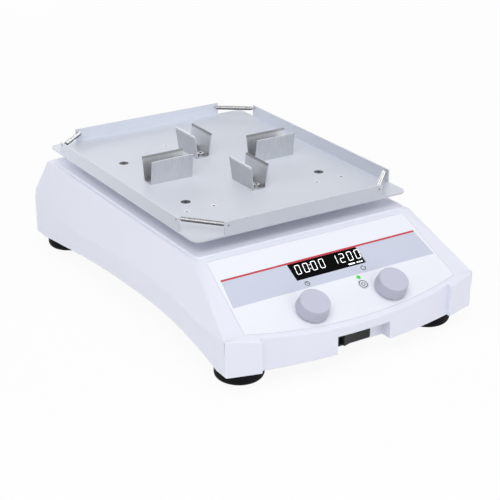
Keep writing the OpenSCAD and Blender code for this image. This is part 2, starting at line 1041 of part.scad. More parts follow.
module frame_screws() {
    color("silver") {
        translate([0, shaft_y, pan_top + 6])
            for (i = [0:3])
                rotate([0, 0, 45 + i * 90])
                    translate([29, 0, 0])
                        screw(3.4, 3.4, 2, 9);
        for (way = crank_ways)
            translate([way[0] * idler_x, shaft_y + way[1] * idler_y, pan_top + 4.5])
                for (i = [0:1])
                    rotate([0, 0, 45 + i * 180])
                        translate([17, 0, 0])
                            screw(1.9, 3, 1.5, 7);
    }
}

module idler_posts() {
    color("silver")
        for (way = crank_ways)
            translate([way[0] * idler_x, shaft_y + way[1] * idler_y, 0])
                difference() {
                    union() {
                        translate([0, 0, pan_top])
                            cylinder(r = 20, h = 4.5);
                        translate([0, 0, pan_top])
                            cylinder(r = 15, h = post_top - pan_top);
                    }
                    translate([0, 0, post_top - 24])
                        cylinder(r = 11 + seat, h = 30);
                    translate([0, 0, pan_top - 1])
                        pan_bolt_holes(17, 2);
                }
}

module idler_bearings() {
    color("lightsteelblue")
        for (way = crank_ways)
            translate([way[0] * idler_x, shaft_y + way[1] * idler_y, 0])
                for (z = [post_top - 21, post_top - 7])
                    ring(z, 7, 11, idler_r + run);
}

// Idler crank: a shaft in the post, a disc, and a pin one orbit radius off the axis
module idler_crank(way) {
    translate([way[0] * idler_x, shaft_y + way[1] * idler_y, 0]) {
        translate([0, 0, post_top - 22.5])
            cylinder(r = idler_r, h = crank_disc_z - post_top + 22.5 + e, $fn = fine);
        translate([0, 0, crank_disc_z])
            cylinder(r = 9, h = crank_disc_h, $fn = fine);
        translate([orbit_r, 0, crank_disc_z + crank_disc_h - e])
            cylinder(r = idler_shoulder_r, h = bush_z - 0.4 - crank_disc_z - crank_disc_h, $fn = fine);
        translate([orbit_r, 0, bush_z - 1])
            cylinder(r = idler_r, h = bush_h + 0.6, $fn = fine);
    }
}

module front_left_crank() {
    color("lightgray")
        idler_crank(crank_ways[0]);
}

module front_right_crank() {
    color("lightgray")
        idler_crank(crank_ways[1]);
}

module rear_left_crank() {
    color("lightgray")
        idler_crank(crank_ways[2]);
}

module rear_right_crank() {
    color("lightgray")
        idler_crank(crank_ways[3]);
}

module dust_seals() {
    lip = 3;
    color("black") {
        translate([0, shaft_y, 0])
            ring(deck_z - wall, wall, hub_hole_r - seat, hub_hole_r - lip);
        for (way = crank_ways)
            translate([way[0] * idler_x, shaft_y + way[1] * idler_y, 0])
                ring(deck_z - wall, wall, idler_hole_r - seat, idler_hole_r - lip);
    }
}

module carrier_plate() {
    plate_w = 172;
    plate_d = 148;
    color("lightgray")
        translate([tray_x, tray_y, 0])
            difference() {
                union() {
                    translate([0, 0, carrier_z])
                        linear_extrude(tray_under - carrier_z)
                            rounded(plate_w, plate_d, 10);
                    translate([0, 0, hub_boss_z])
                        cylinder(r = 22, h = tray_under - hub_boss_z);
                    for (way = crank_ways)
                        translate([way[0] * idler_x, way[1] * idler_y, bush_boss_z])
                            cylinder(r = 12, h = tray_under - bush_boss_z);
                }
                translate([0, 0, hub_boss_z - 1])
                    cylinder(r = 14 + seat, h = hub_bearing_z + hub_bearing_h - hub_boss_z + 1.2);
                for (way = crank_ways)
                    translate([way[0] * idler_x, way[1] * idler_y, bush_boss_z - 1])
                        cylinder(r = 8 + seat, h = bush_z + bush_h - bush_boss_z + 1);
                for (at = clip_screw_at)
                    translate([at[0], at[1], carrier_z - 1])
                        cylinder(r = 2 + seat, h = 20);
                for (at = tray_screw_at)
                    translate([at[0], at[1], tray_z])
                        flush_screw(flush_gap);
            }
}

module hub_bearing() {
    color("lightsteelblue")
        translate([tray_x, tray_y, 0])
            ring(hub_bearing_z, hub_bearing_h, 14, pin_r + run);
}

module carrier_bushes() {
    color("goldenrod")
        for (way = crank_ways)
            translate([tray_x + way[0] * idler_x, tray_y + way[1] * idler_y, 0])
                ring(bush_z, bush_h, 8, idler_r + idler_play);
}

// Round holes through the tray floor
module floor_holes(places, r) {
    for (at = places)
        translate([at[0], at[1], tray_under - 1])
            cylinder(r = r, h = tray_t + 2);
}

module tray() {
    half_x = tray_w / 2;
    half_y = tray_d / 2;
    flange_top = tray_under + flange_h;
    spring_x = flange_front / 2 - spring_inset;
    spring_y = flange_side / 2 - spring_inset;
    color("lightgray")
        translate([tray_x, tray_y, 0])
            difference() {
                union() {
                    translate([0, 0, tray_under])
                        linear_extrude(tray_t)
                            rounded(tray_w, tray_d, tray_corner_r);
                    for (side = [-1, 1]) {
                        span([-flange_front / 2, side > 0 ? half_y - tray_t : -half_y, tray_under],
                            [flange_front / 2, side > 0 ? half_y : -half_y + tray_t, flange_top]);
                        span([side > 0 ? half_x - tray_t : -half_x, -flange_side / 2, tray_under],
                            [side > 0 ? half_x : -half_x + tray_t, flange_side / 2, flange_top]);
                    }
                }
                floor_holes(clip_screw_at, m4_hole_r);
                for (at = tray_screw_at)
                    translate([at[0], at[1], tray_z])
                        flush_screw(flush_gap);
                floor_holes(spare_hole_at, m4_hole_r);
                for (sx = [-1, 1], sy = [-1, 1]) {
                    translate([sx * half_x, sy * spring_y, side_hole_z])
                        rotate([0, 90, 0])
                            cylinder(r = spring_hole_r, h = 6, center = true);
                    translate([sx * spring_x, sy * half_y, end_hole_z])
                        rotate([90, 0, 0])
                            cylinder(r = spring_hole_r, h = 6, center = true);
                }
            }
}

// Countersunk head and shank of a flush screw, or the hole for it, grown by gap
module flush_screw(gap) {
    shank_r = 2.5;
    shank_l = 8;
    translate([0, 0, -flush_head_h])
        cylinder(r1 = shank_r + gap, r2 = flush_head_r + gap, h = flush_head_h);
    translate([0, 0, -shank_l - gap])
        cylinder(r = shank_r + gap, h = shank_l - flush_head_h + gap + e);
}

module tray_screws() {
    color("black")
        for (at = tray_screw_at)
            translate([tray_x + at[0], tray_y + at[1], tray_z])
                difference() {
                    flush_screw(0);
                    translate([0, 0, -1.6])
                        cylinder(r = 1.7, h = 3, $fn = 6);
                }
}

module clip_screws() {
    color("silver")
        for (at = clip_screw_at)
            translate([tray_x + at[0], tray_y + at[1], tray_z + clip_t])
                screw(3.6, 2.6, 2, 8.5);
}

// A channel of bent sheet along Y, with its side walls splayed towards the top
module clip(length, screw_off) {
    lean = (clip_top - clip_base) / 2 / clip_h;
    skin = clip_t * sqrt(1 + lean * lean);
    difference() {
        along_y(-length / 2, length / 2)
            polygon([
                [-clip_base / 2, 0],
                [clip_base / 2, 0],
                [clip_top / 2, clip_h],
                [clip_top / 2 - skin, clip_h],
                [clip_base / 2 + lean * clip_t - skin, clip_t],
                [-clip_base / 2 - lean * clip_t + skin, clip_t],
                [-clip_top / 2 + skin, clip_h],
                [-clip_top / 2, clip_h]
            ]);
        for (off = [-screw_off, screw_off])
            translate([0, off, -1])
                cylinder(r = m4_hole_r, h = clip_t + 2);
    }
}

module front_clip() {
    color("gainsboro")
        translate([tray_x, tray_y - clip_u, tray_z])
            clip(end_clip_l, end_screw_off);
}

module rear_clip() {
    color("gainsboro")
        translate([tray_x, tray_y + clip_u, tray_z])
            clip(end_clip_l, end_screw_off);
}

module left_clip() {
    color("gainsboro")
        translate([tray_x - clip_v, tray_y, tray_z])
            rotate([0, 0, 90])
                clip(side_clip_l, side_screw_off);
}

module right_clip() {
    color("gainsboro")
        translate([tray_x + clip_v, tray_y, tray_z])
            rotate([0, 0, 90])
                clip(side_clip_l, side_screw_off);
}

// Corner spring of the front left corner, from the hole in the side flange to that in the front flange
function unit(v) = v / norm(v);
side_hole = [-tray_w / 2, -flange_side / 2 + spring_inset, side_hole_z];
front_hole = [-flange_front / 2 + spring_inset, -tray_d / 2, end_hole_z];
side_knee = side_hole + [tray_t + spring_lead + wire_d, 0, 0];
front_knee = front_hole + [0, tray_t + spring_lead + wire_d, 0];
coil_way = unit(front_knee - side_knee);
coil_side = unit(cross([0, 0, 1], coil_way));
coil_up = cross(coil_way, coil_side);
coil_r = (coil_d - wire_d) / 2;
coil_start = side_knee + coil_way * wire_d;
coil_len = norm(front_knee - side_knee) - 2 * wire_d;

function smooth(t) = t >= 1 ? 1 : t * t * (3 - 2 * t);
function swell(turn) = coil_r * smooth(min(turn, curls - turn) / coil_taper);
function coil_point(turn) = coil_start + coil_way * coil_len * turn / curls
    + swell(turn) * (coil_side * cos(360 * turn) + coil_up * sin(360 * turn));

coil_steps = curls * rings_per_curl;
spring_path = concat(
    [side_hole - [spring_tail, 0, 0], side_knee - [wire_d / 2, 0, 0]],
    [for (i = [0:coil_steps]) coil_point(i / rings_per_curl)],
    [front_knee - [0, wire_d / 2, 0], front_hole - [0, spring_tail, 0]]
);
path_last = len(spring_path) - 1;

function path_way(i) = unit(spring_path[min(i + 1, path_last)] - spring_path[max(i - 1, 0)]);
function carried(v, way) = unit(v - way * (v * way));
path_across = [for (i = 0, v = [0, 0, 1]; i <= path_last;
    i = i + 1, v = i <= path_last ? carried(v, path_way(i)) : v) carried(v, path_way(i))];
wire_points = [for (i = [0:path_last], k = [0:wire_sides - 1])
    let (a = 360 * k / wire_sides, v = path_across[i], w = cross(path_way(i), v))
        spring_path[i] + wire_d / 2 * (v * cos(a) + w * sin(a))];

function wire_index(i, k) = i * wire_sides + (k % wire_sides);
wire_faces = concat(
    [for (k = [1:wire_sides - 2]) [0, k, k + 1]],
    [for (i = [0:path_last - 1], k = [0:wire_sides - 1], half = [0, 1])
        half == 0
            ? [wire_index(i, k), wire_index(i + 1, k), wire_index(i + 1, k + 1)]
            : [wire_index(i, k), wire_index(i + 1, k + 1), wire_index(i, k + 1)]],
    [for (k = [1:wire_sides - 2])
        [wire_index(path_last, 0), wire_index(path_last, k + 1), wire_index(path_last, k)]]
);

// Least gap between parts of one spring that are half a curl or more apart along the wire
spring_gap = min([for (i = [0:path_last], j = [i + rings_per_curl / 2:1:path_last])
    norm(spring_path[i] - spring_path[j])]) - wire_d;
echo(spring_least_gap = spring_gap);

module corner_spring(right, rear) {
    color("lightsteelblue")
        translate([tray_x, tray_y, 0])
            mirror([right ? 1 : 0, 0, 0])
                mirror([0, rear ? 1 : 0, 0])
                    polyhedron(wire_points, wire_faces);
}

module front_left_spring() {
    corner_spring(false, false);
}

module front_right_spring() {
    corner_spring(true, false);
}

module rear_left_spring() {
    corner_spring(false, true);
}

module rear_right_spring() {
    corner_spring(true, true);
}

module power_supply() {
    board_x0 = -76;
    board_x1 = 76;
    board_u0 = 38;
    board_u1 = 80;
    board_z = pan_top + 6;
    color("seagreen")
        union() {
            span([board_x0, y_at(board_u1), board_z], [board_x1, y_at(board_u0), board_z + board_t]);
            for (x = [board_x0 + 5, board_x1 - 5], u = [board_u0 + 5, board_u1 - 5])
                translate([x, y_at(u), pan_top])
                    cylinder(r = 3, h = board_z - pan_top + e);
            span([-62, y_at(74), board_z + 1], [-28, y_at(44), board_z + 30]);
            for (x = [-12, 8])
                translate([x, y_at(60), board_z + 1])
                    cylinder(r = 8.5, h = 28);
            span([26, y_at(76), board_z + 1], [66, y_at(71), board_z + 26]);
            span([30, y_at(66), board_z + 1], [56, y_at(48), board_z + 14]);
        }
}

// Outline of the mains socket, with its two lower corners cut off
module socket_outline() {
    polygon([
        [-socket_w / 2, socket_h / 2],
        [socket_w / 2, socket_h / 2],
        [socket_w / 2, -socket_h / 2 + socket_cut],
        [socket_w / 2 - socket_cut, -socket_h / 2],
        [-socket_w / 2 + socket_cut, -socket_h / 2],
        [-socket_w / 2, -socket_h / 2 + socket_cut]
    ]);
}

module power_inlet() {
    face_y = y_rear + inlet_proud;
    prong_w = 4;
    prong_t = 2;
    color("dimgray")
        translate([inlet_x, 0, inlet_z]) {
            difference() {
                union() {
                    along_y(y_rear, face_y)
                        rounded(inlet_flange_w, inlet_flange_h, 4);
                    span([-inlet_body_w / 2, y_rear - inlet_depth, -inlet_body_h / 2],
                        [inlet_body_w / 2, y_rear + 1, inlet_body_h / 2]);
                }
                translate([socket_x, 0, 0])
                    along_y(face_y - socket_depth, face_y + 1)
                        socket_outline();
                span([drawer_x - drawer_w / 2 - 0.3, face_y - drawer_depth - 1, -drawer_h / 2 - 0.3],
                    [drawer_x + drawer_w / 2 + 0.3, face_y + 1, drawer_h / 2 + 0.3]);
                for (side = [-1, 1])
                    translate([side * inlet_screw_x, face_y + 1, 0])
                        rotate([90, 0, 0])
                            cylinder(r = 1.5 + run, h = 6);
            }
            for (prong = [[-7, 2], [7, 2], [0, -2]])
                translate([socket_x + prong[0], face_y - socket_depth / 2 - 1.5, prong[1]])
                    cube([prong_t, socket_depth - 2, prong_w], center = true);
        }
}

module inlet_screws() {
    color("silver")
        for (side = [-1, 1])
            translate([inlet_x + side * inlet_screw_x, y_rear + inlet_proud - 2, inlet_z])
                rotate([-90, 0, 0])
                    screw(1.5, 2, 1.5, 6);
}

module fuse_drawer() {
    face_y = y_rear + inlet_proud;
    color("black")
        translate([inlet_x + drawer_x, 0, inlet_z])
            difference() {
                span([-drawer_w / 2, face_y - drawer_depth, -drawer_h / 2],
                    [drawer_w / 2, face_y, drawer_h / 2]);
                for (side = [-1, 1])
                    span([-drawer_w / 2 + 2, face_y - drawer_depth + 2, side * drawer_h / 4 - 2.8],
                        [drawer_w / 2 + 1, face_y - drawer_face, side * drawer_h / 4 + 2.8]);
                span([-4, face_y - 1, -drawer_h / 2 - 1], [4, face_y + 1, -drawer_h / 2 + 2]);
            }
}

module switch_body() {
    back_y = y_at(notch_back_u);
    cavity_w = rocker_l + 1.6;
    cavity_h = rocker_h + 0.8;
    color("black")
        translate([switch_x, 0, switch_z])
            difference() {
                union() {
                    along_y(back_y - bezel_t, back_y)
                        rounded(bezel_w, bezel_h, 1.5);
                    span([-switch_body_w / 2, back_y - 1, -switch_body_h / 2],
                        [switch_body_w / 2, back_y + switch_depth, switch_body_h / 2]);
                }
                span([-cavity_w / 2, back_y - bezel_t - 1, -cavity_h / 2],
                    [cavity_w / 2, back_y + 8, cavity_h / 2]);
                translate([0, back_y, 0])
                    cylinder(r = rocker_pin_r + run, h = rocker_h + 1.6, center = true);
            }
}

// Rocker with a shallow V face, turned about an upright pin, and resting with one end pressed in
module power_rocker() {
    back_y = y_at(notch_back_u);
    face = bezel_t + 1;
    end_face = bezel_t + 3;
    color("black")
        translate([switch_x, back_y, switch_z])
            rotate([0, 0, rocker_tilt]) {
                translate([0, 0, -rocker_h / 2])
                    linear_extrude(rocker_h)
                        polygon([
                            [-rocker_l / 2, -end_face],
                            [0, -face],
                            [rocker_l / 2, -end_face],
                            [rocker_l / 2 - 0.6, 0.5],
                            [5, 3.5],
                            [-5, 3.5],
                            [-rocker_l / 2 + 0.6, 0.5]
                        ]);
                cylinder(r = rocker_pin_r, h = rocker_h + 1.4, center = true);
            }
}

housing_shell();
panel_overlay();
display_window();
display_module();
control_board();
left_encoder();
right_encoder();
standby_switch();
led_lens();
base_pan();
pan_screws();
front_left_foot();
front_right_foot();
rear_left_foot();
rear_right_foot();
foot_screws();
drive_block();
drive_bearings();
frame_screws();
idler_posts();
idler_bearings();
motor_case();
motor_screws();
drive_belt();
power_supply();
power_inlet();
inlet_screws();
switch_body();
dust_seals();
drive_shaft();
drive_pulley();
counterweight();
carrier_plate();
hub_bearing();
carrier_bushes();
tray();
tray_screws();
front_clip();
rear_clip();
left_clip();
right_clip();
clip_screws();
front_left_spring();
front_right_spring();
rear_left_spring();
rear_right_spring();
front_left_crank();
front_right_crank();
rear_left_crank();
rear_right_crank();
motor_rotor();
motor_pulley();
left_plunger();
left_knob();
right_plunger();
right_knob();
standby_button();
power_rocker();
fuse_drawer();
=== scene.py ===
import json
import math

import bmesh
import bpy
from mathutils import Matrix, Vector


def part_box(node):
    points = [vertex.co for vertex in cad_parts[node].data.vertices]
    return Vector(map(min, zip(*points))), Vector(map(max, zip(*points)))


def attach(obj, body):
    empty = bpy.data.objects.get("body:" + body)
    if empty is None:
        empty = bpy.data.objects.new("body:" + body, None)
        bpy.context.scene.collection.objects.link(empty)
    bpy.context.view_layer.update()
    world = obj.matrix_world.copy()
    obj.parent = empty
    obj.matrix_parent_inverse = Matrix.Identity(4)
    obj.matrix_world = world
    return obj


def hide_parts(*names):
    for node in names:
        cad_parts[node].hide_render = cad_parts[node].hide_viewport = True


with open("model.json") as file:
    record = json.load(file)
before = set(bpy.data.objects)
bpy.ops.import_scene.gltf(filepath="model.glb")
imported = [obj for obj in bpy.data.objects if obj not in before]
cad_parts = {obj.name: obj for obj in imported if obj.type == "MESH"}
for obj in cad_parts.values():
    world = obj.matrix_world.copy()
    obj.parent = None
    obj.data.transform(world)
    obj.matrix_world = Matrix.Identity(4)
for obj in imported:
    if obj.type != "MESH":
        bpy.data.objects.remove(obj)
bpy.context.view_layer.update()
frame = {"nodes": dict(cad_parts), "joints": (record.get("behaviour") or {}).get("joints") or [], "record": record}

MM = 0.001
TOUCH = 1e-6
NODES = frame["nodes"]
JOINTS = {joint["name"]: joint for joint in frame["joints"]}
SLOTS = {row["node"]: row["material_slot"] for row in frame["record"]["subparts"]}

# Slope of the control front, read from the axis of a knob that stands square on it
KNOB_X = 42.3 * MM
KNOB_S = 79.5 * MM
SLOPE_OUT = Vector(JOINTS["left_knob_turn"]["axis"]).normalized()
SLOPE_UP = Vector((0.0, SLOPE_OUT.z, -SLOPE_OUT.y))
SLOPE_TOP = Vector(JOINTS["left_knob_turn"]["pos_m"]) + Vector((KNOB_X, 0, 0)) + SLOPE_UP * KNOB_S


def on_slope(x, s, lift=0.0):
    """Matrix of a place on the control front: x to the right, s down from its top edge, lift outwards."""
    place = SLOPE_TOP + Vector((x, 0, 0)) - SLOPE_UP * s + SLOPE_OUT * lift
    turn = Matrix((Vector((1, 0, 0)), SLOPE_UP, SLOPE_OUT)).transposed()
    return Matrix.Translation(place) @ turn.to_4x4()


# Nodes that materials and edge treatment share

def wire(tree, start, end):
    """Links two sockets."""
    tree.links.new(start, end)


def operator(tree, kind, operation):
    """A node of a kind that can do several operations, set to one of them."""
    node = tree.nodes.new(kind)
    node.operation = operation
    return node


def parts_of(tree, vector):
    """The X, Y and Z of a vector socket."""
    split = tree.nodes.new("ShaderNodeSeparateXYZ")
    wire(tree, vector, split.inputs[0])
    return split.outputs


# Painted light and shade in the colours of materials, by the way a face looks and by its place on the piece

# Upward share of a face's direction, from where it counts as upright to where it counts as level
UPRIGHT_TO_LEVEL = (0.4, 0.85)

# Sheet channels, painted light and shade: the width of the change from inside to outside and from one wall to the
# other, the tone of the painted shade on the dark rim, the heights between which the painted rim begins, its
# strength on the walls, and the upward share of the faces on top of the walls
CHANNEL_WALL_BLEND = 0.2
CHANNEL_SIDE_BLEND = 0.3
CHANNEL_RIM_SHADE = 0.3
CHANNEL_RIM_Z = (0.88, 0.95)
CHANNEL_RIM_SHARE = 0.75
CHANNEL_TOP = (0.6, 0.9)


def facing(tree):
    """The X, Y and Z of the direction a face looks in."""
    return parts_of(tree, tree.nodes.new("ShaderNodeNewGeometry").outputs["Normal"])


def place_on_piece(tree):
    """The X, Y and Z of a place on the piece, each from 0 to 1."""
    return parts_of(tree, tree.nodes.new("ShaderNodeTexCoord").outputs["Generated"])


def ramp_of(tree, value, low, high, start, end):
    """A value that runs from start to end while another runs from low to high."""
    share = tree.nodes.new("ShaderNodeMapRange")
    for socket, bound in (("From Min", low), ("From Max", high), ("To Min", start), ("To Max", end)):
        share.inputs[socket].default_value = bound
    wire(tree, value, share.inputs["Value"])
    return share.outputs["Result"]


def scaled(tree, color, share):
    """A colour times a number."""
    scale = operator(tree, "ShaderNodeVectorMath", "SCALE")
    wire(tree, color, scale.inputs[0])
    wire(tree, share, scale.inputs["Scale"])
    return scale.outputs["Vector"]


def blended(tree, share, start, end, kind="FLOAT"):
    """A value between two others."""
    mix = tree.nodes.new("ShaderNodeMix")
    mix.data_type = kind
    wire(tree, share, mix.inputs["Factor"])
    wire(tree, start, mix.inputs["A"])
    wire(tree, end, mix.inputs["B"])
    return mix.outputs["Result"]


def painted_side_shade(tone):
    """The colour as it is on faces that look up, and a painted shade on upright faces that darkens them to a share
    of it.
    """
    def tones(tree, color):
        return scaled(tree, color, ramp_of(tree, facing(tree)["Z"], *UPRIGHT_TO_LEVEL, tone, 1.0))
    return tones


def painted_rim_light(front, rear):
    """The colour as it is on faces that look up, and on upright ones a painted shade or highlight that scales it
    by a share running from front to rear.
    """
    def tones(tree, color):
        upright = scaled(tree, color, ramp_of(tree, place_on_piece(tree)["Y"], 0.0, 1.0, front, rear))
        level = ramp_of(tree, facing(tree)["Z"], *UPRIGHT_TO_LEVEL, 0.0, 1.0)
        return blended(tree, level, upright, color, "VECTOR")
    return tones


def painted_wire_reflection(bands):
    """Painted reflection: light and dark bands round a bright wire, by the way its faces look, from its underside
    to its top.
    """
    def tones(tree, color):
        ramp = tree.nodes.new("ShaderNodeValToRGB")
        stops = ramp.color_ramp.elements
        for _ in bands[2:]:
            stops.new(0.5)
        for stop, (at, tone) in zip(stops, bands):
            stop.position = at
            stop.color = (tone, tone, tone, 1)
        wire(tree, ramp_of(tree, facing(tree)["Z"], -1.0, 1.0, 0.0, 1.0), ramp.inputs["Fac"])
        return scaled(tree, color, ramp.outputs["Color"])
    return tones


def painted_channel_light(axis, inner, outer, rim):
    """Painted light and shade on a sheet channel with walls across an axis: one tone inside, one outside, and two
    rims.

    The rim of the first wall gets a painted highlight, and that of the other a painted shade.
    """
    def tones(tree, color):
        look = facing(tree)
        place = place_on_piece(tree)
        side = ramp_of(tree, place[axis], 0.0, 1.0, -1.0, 1.0)
        outward = operator(tree, "ShaderNodeMath", "MULTIPLY")
        wire(tree, side, outward.inputs[0])
        wire(tree, look[axis], outward.inputs[1])
        wall = ramp_of(tree, outward.outputs[0], -CHANNEL_WALL_BLEND, CHANNEL_WALL_BLEND, inner, outer)
        edge = ramp_of(tree, side, -CHANNEL_SIDE_BLEND, CHANNEL_SIDE_BLEND, rim, CHANNEL_RIM_SHADE)
        brim = ramp_of(tree, place["Z"], *CHANNEL_RIM_Z, 0.0, CHANNEL_RIM_SHARE)
        top = ramp_of(tree, look["Z"], *CHANNEL_TOP, 0.0, 1.0)
        return scaled(tree, color, blended(tree, top, blended(tree, brim, wall, edge), edge))
    return tones


# Materials

FINE_DETAIL = 4.0
BROAD_SCALE = 14.0
BROAD_DETAIL = 3.0
GRAIN_SHARE = 0.5
RELIEF_STRENGTH = 0.5
LEAST_ROUGHNESS = 0.02


def noise(tree, vector, scale, detail):
    """The value of a noise texture."""
    texture = tree.nodes.new("ShaderNodeTexNoise")
    texture.inputs["Scale"].default_value = scale
    texture.inputs["Detail"].default_value = detail
    wire(tree, vector, texture.inputs["Vector"])
    return texture.outputs["Fac"]


def surface(name, color, *, rough, vary=0.03, rough_vary=0.05, grain=1500.0, bump=0.01, metallic=0.0,
            stretch=(1.0, 1.0, 1.0), tones=None, **fixed):
    """A material whose colour, roughness and relief vary with a fine grain and a broad unevenness.

    The bump is in mm, and fixed gives values of other sockets of the shader.
    """
    mat = bpy.data.materials.new(name)
    mat.use_nodes = True
    tree = mat.node_tree
    shader = tree.nodes["Principled BSDF"]
    shader.inputs["Metallic"].default_value = metallic
    for socket, value in fixed.items():
        shader.inputs[socket.replace("_", " ")].default_value = value
    place = tree.nodes.new("ShaderNodeTexCoord").outputs["Object"]
    mapping = tree.nodes.new("ShaderNodeMapping")
    mapping.inputs["Scale"].default_value = stretch
    wire(tree, place, mapping.inputs["Vector"])
    fine = noise(tree, mapping.outputs["Vector"], grain, FINE_DETAIL)
    blend = tree.nodes.new("ShaderNodeMix")
    blend.inputs["Factor"].default_value = GRAIN_SHARE
    wire(tree, fine, blend.inputs["A"])
    wire(tree, noise(tree, place, BROAD_SCALE, BROAD_DETAIL), blend.inputs["B"])
    uneven = blend.outputs["Result"]
    tint = tree.nodes.new("ShaderNodeMix")
    tint.data_type = "RGBA"
    tint.inputs["A"].default_value = (*[c * (1 - vary) for c in color], 1)
    tint.inputs["B"].default_value = (*[min(1.0, c * (1 + vary)) for c in color], 1)
    wire(tree, uneven, tint.inputs["Factor"])
    shown = tint.outputs["Result"]
    # Painted light and shade, where a material has them, scale its colour by the way a face looks and by its place
    if tones:
        shown = tones(tree, shown)
    wire(tree, shown, shader.inputs["Base Color"])
    smooth = max(LEAST_ROUGHNESS, rough - rough_vary)
    wire(tree, ramp_of(tree, uneven, 0.0, 1.0, smooth, rough + rough_vary), shader.inputs["Roughness"])
    relief = tree.nodes.new("ShaderNodeBump")
    relief.inputs["Strength"].default_value = RELIEF_STRENGTH
    relief.inputs["Distance"].default_value = bump * MM
    wire(tree, fine, relief.inputs["Height"])
    wire(tree, relief.outputs["Normal"], shader.inputs["Normal"])
    return mat


def brushed(name, across, inner, outer, rim):
    """Sheet steel of a channel with walls across one axis, with a brushed grain that runs upright, and painted
    light and shade on its walls and rims.
    """
    return surface(name, STEEL, rough=0.34, metallic=1.0, grain=900.0, stretch=(1.0, 1.0, 0.03), bump=0.006,
                   vary=0.32, rough_vary=0.08, tones=painted_channel_light(across, inner, outer, rim))


def glowing(name, color, strength):
    """A lit surface, a little uneven over its area."""
    mat = surface(name, color, rough=0.4, grain=900.0, bump=0.004)
    shader = mat.node_tree.nodes["Principled BSDF"]
    shader.inputs["Emission Color"].default_value = (*color, 1)
    shader.inputs["Emission Strength"].default_value = strength
    return mat


HOUSING_WHITE = (0.80, 0.82, 0.915)
OVERLAY_WHITE = (0.86, 0.88, 0.95)
BLACK = (0.012, 0.012, 0.014)
STEEL = (0.62, 0.632, 0.65)
# Place of each band of the painted reflection from the underside of the wire to its top, and its tone
WIRE_REFLECTION_BANDS = ((0.30, 0.05), (0.55, 0.35), (0.70, 1.0), (0.82, 0.65), (0.95, 0.12), (1.0, 0.60))

materials = {
    "housing": surface("housing_plastic", HOUSING_WHITE, rough=0.42, vary=0.012, grain=2200, bump=0.012),
    "overlay": surface("overlay_film", OVERLAY_WHITE, rough=0.38, vary=0.01, grain=3500, bump=0.006),
    "display": surface("display_glass", (0.0015, 0.0015, 0.002), rough=0.12, vary=0.3, rough_vary=0.02,
                       bump=0.001, Specular_IOR_Level=0.03),
    "board": surface("circuit_board", (0.03, 0.20, 0.08), rough=0.35, vary=0.25, grain=420, bump=0.05),
    "black_plastic": surface("black_plastic", BLACK, rough=0.42, vary=0.25, grain=1800, bump=0.015,
                             Specular_IOR_Level=0.3),
    "lamp": glowing("lamp_green", (0.04, 0.50, 0.06), 0.35),
    "button": surface("button_plastic", OVERLAY_WHITE, rough=0.40, vary=0.012, grain=2400, bump=0.008),
    # Painted shade: the knob's upright sides are darker than its top
    "knob": surface("knob_plastic", (0.55, 0.555, 0.67), rough=0.50, vary=0.02, grain=2600, bump=0.012,
                    tones=painted_side_shade(0.84)),
    "pan": surface("powder_coat", (0.66, 0.67, 0.71), rough=0.55, vary=0.03, grain=1300, bump=0.04),
    "rubber": surface("black_rubber", (0.006, 0.006, 0.008), rough=0.7, vary=0.3, grain=1500, bump=0.03,
                      Specular_IOR_Level=0.10),
    # Painted shade: upright faces of the screws are darker than faces that look up
    "fastener": surface("plated_steel", (0.70, 0.70, 0.72), rough=0.24, metallic=1.0, vary=0.06, grain=1700,
                        bump=0.005, tones=painted_side_shade(0.4)),
    "black_screw": surface("black_oxide", (0.030, 0.033, 0.042), rough=0.45, vary=0.3, grain=1900, bump=0.01),
    "alloy": surface("machined_alloy", (0.62, 0.63, 0.65), rough=0.36, metallic=1.0, vary=0.06, grain=1200,
                     bump=0.01),
    "bearing": surface("ground_steel", (0.55, 0.55, 0.57), rough=0.22, metallic=1.0, vary=0.06, grain=2000,
                       bump=0.004),
    "iron": surface("machined_iron", (0.20, 0.20, 0.21), rough=0.48, metallic=1.0, vary=0.12, grain=900,
                    bump=0.03),
    "bush": surface("sintered_bronze", (0.55, 0.36, 0.14), rough=0.42, metallic=1.0, vary=0.12, grain=1600,
                    bump=0.02),
    # Painted shade on the front flanges of the tray, and a painted highlight on the rear ones
    "tray": surface("coated_sheet", (0.675, 0.705, 0.78), rough=0.46, metallic=0.15, vary=0.02, grain=1700,
                    bump=0.012, tones=painted_rim_light(0.80, 1.10)),
    # Painted light and shade on the front and rear clips: lighter inside than outside, a painted highlight on one
    # rim and painted shade on the other
    "clip": brushed("brushed_steel_x", "X", inner=1.05, outer=0.86, rim=1.4),
    # Painted reflection: light and dark bands along the coil by the way its faces look
    "spring": surface("spring_wire", (0.76, 0.76, 0.78), rough=0.22, metallic=1.0, vary=0.05, grain=1500,
                      bump=0.003, tones=painted_wire_reflection(WIRE_REFLECTION_BANDS)),
}
# Painted light and shade on the left and right clips: darker inside than outside, a faint painted highlight on one
# rim and painted shade on the other
clip_across = brushed("brushed_steel_y", "Y", inner=0.90, outer=0.98, rim=1.05)
# Painted shade: the sleeves and bores of the inserts are darker than their collar tops
insert_steel = surface("insert_steel", (0.80, 0.80, 0.82), rough=0.30, metallic=1.0, vary=0.05, grain=1700,
                       bump=0.004, tones=painted_side_shade(0.25))
print_red = surface("printed_red", (0.52, 0.022, 0.040), rough=0.42, vary=0.06, grain=2400, bump=0.004)
print_grey = surface("printed_grey", (0.60, 0.635, 0.76), rough=0.40, vary=0.02, grain=2600, bump=0.004)
print_dark = surface("printed_dark", (0.035, 0.035, 0.05), rough=0.45, vary=0.15, grain=2400, bump=0.004)
digit_white = glowing("digit_light", (0.92, 0.94, 0.95), 0.9)


# Shading and edge rounding of the parts that stay as built

SHARP = math.radians(32)
CREASE_SHARP = math.radians(12)
ROUND_FROM = math.radians(28)
FLAT_WITHIN = math.radians(0.4)
SHORTEST_FOLD = 0.6 * MM
ROUND_CLEARANCE = 1.2 * MM
RAY_START = 0.3 * MM
RAY_LENGTH = 1.0

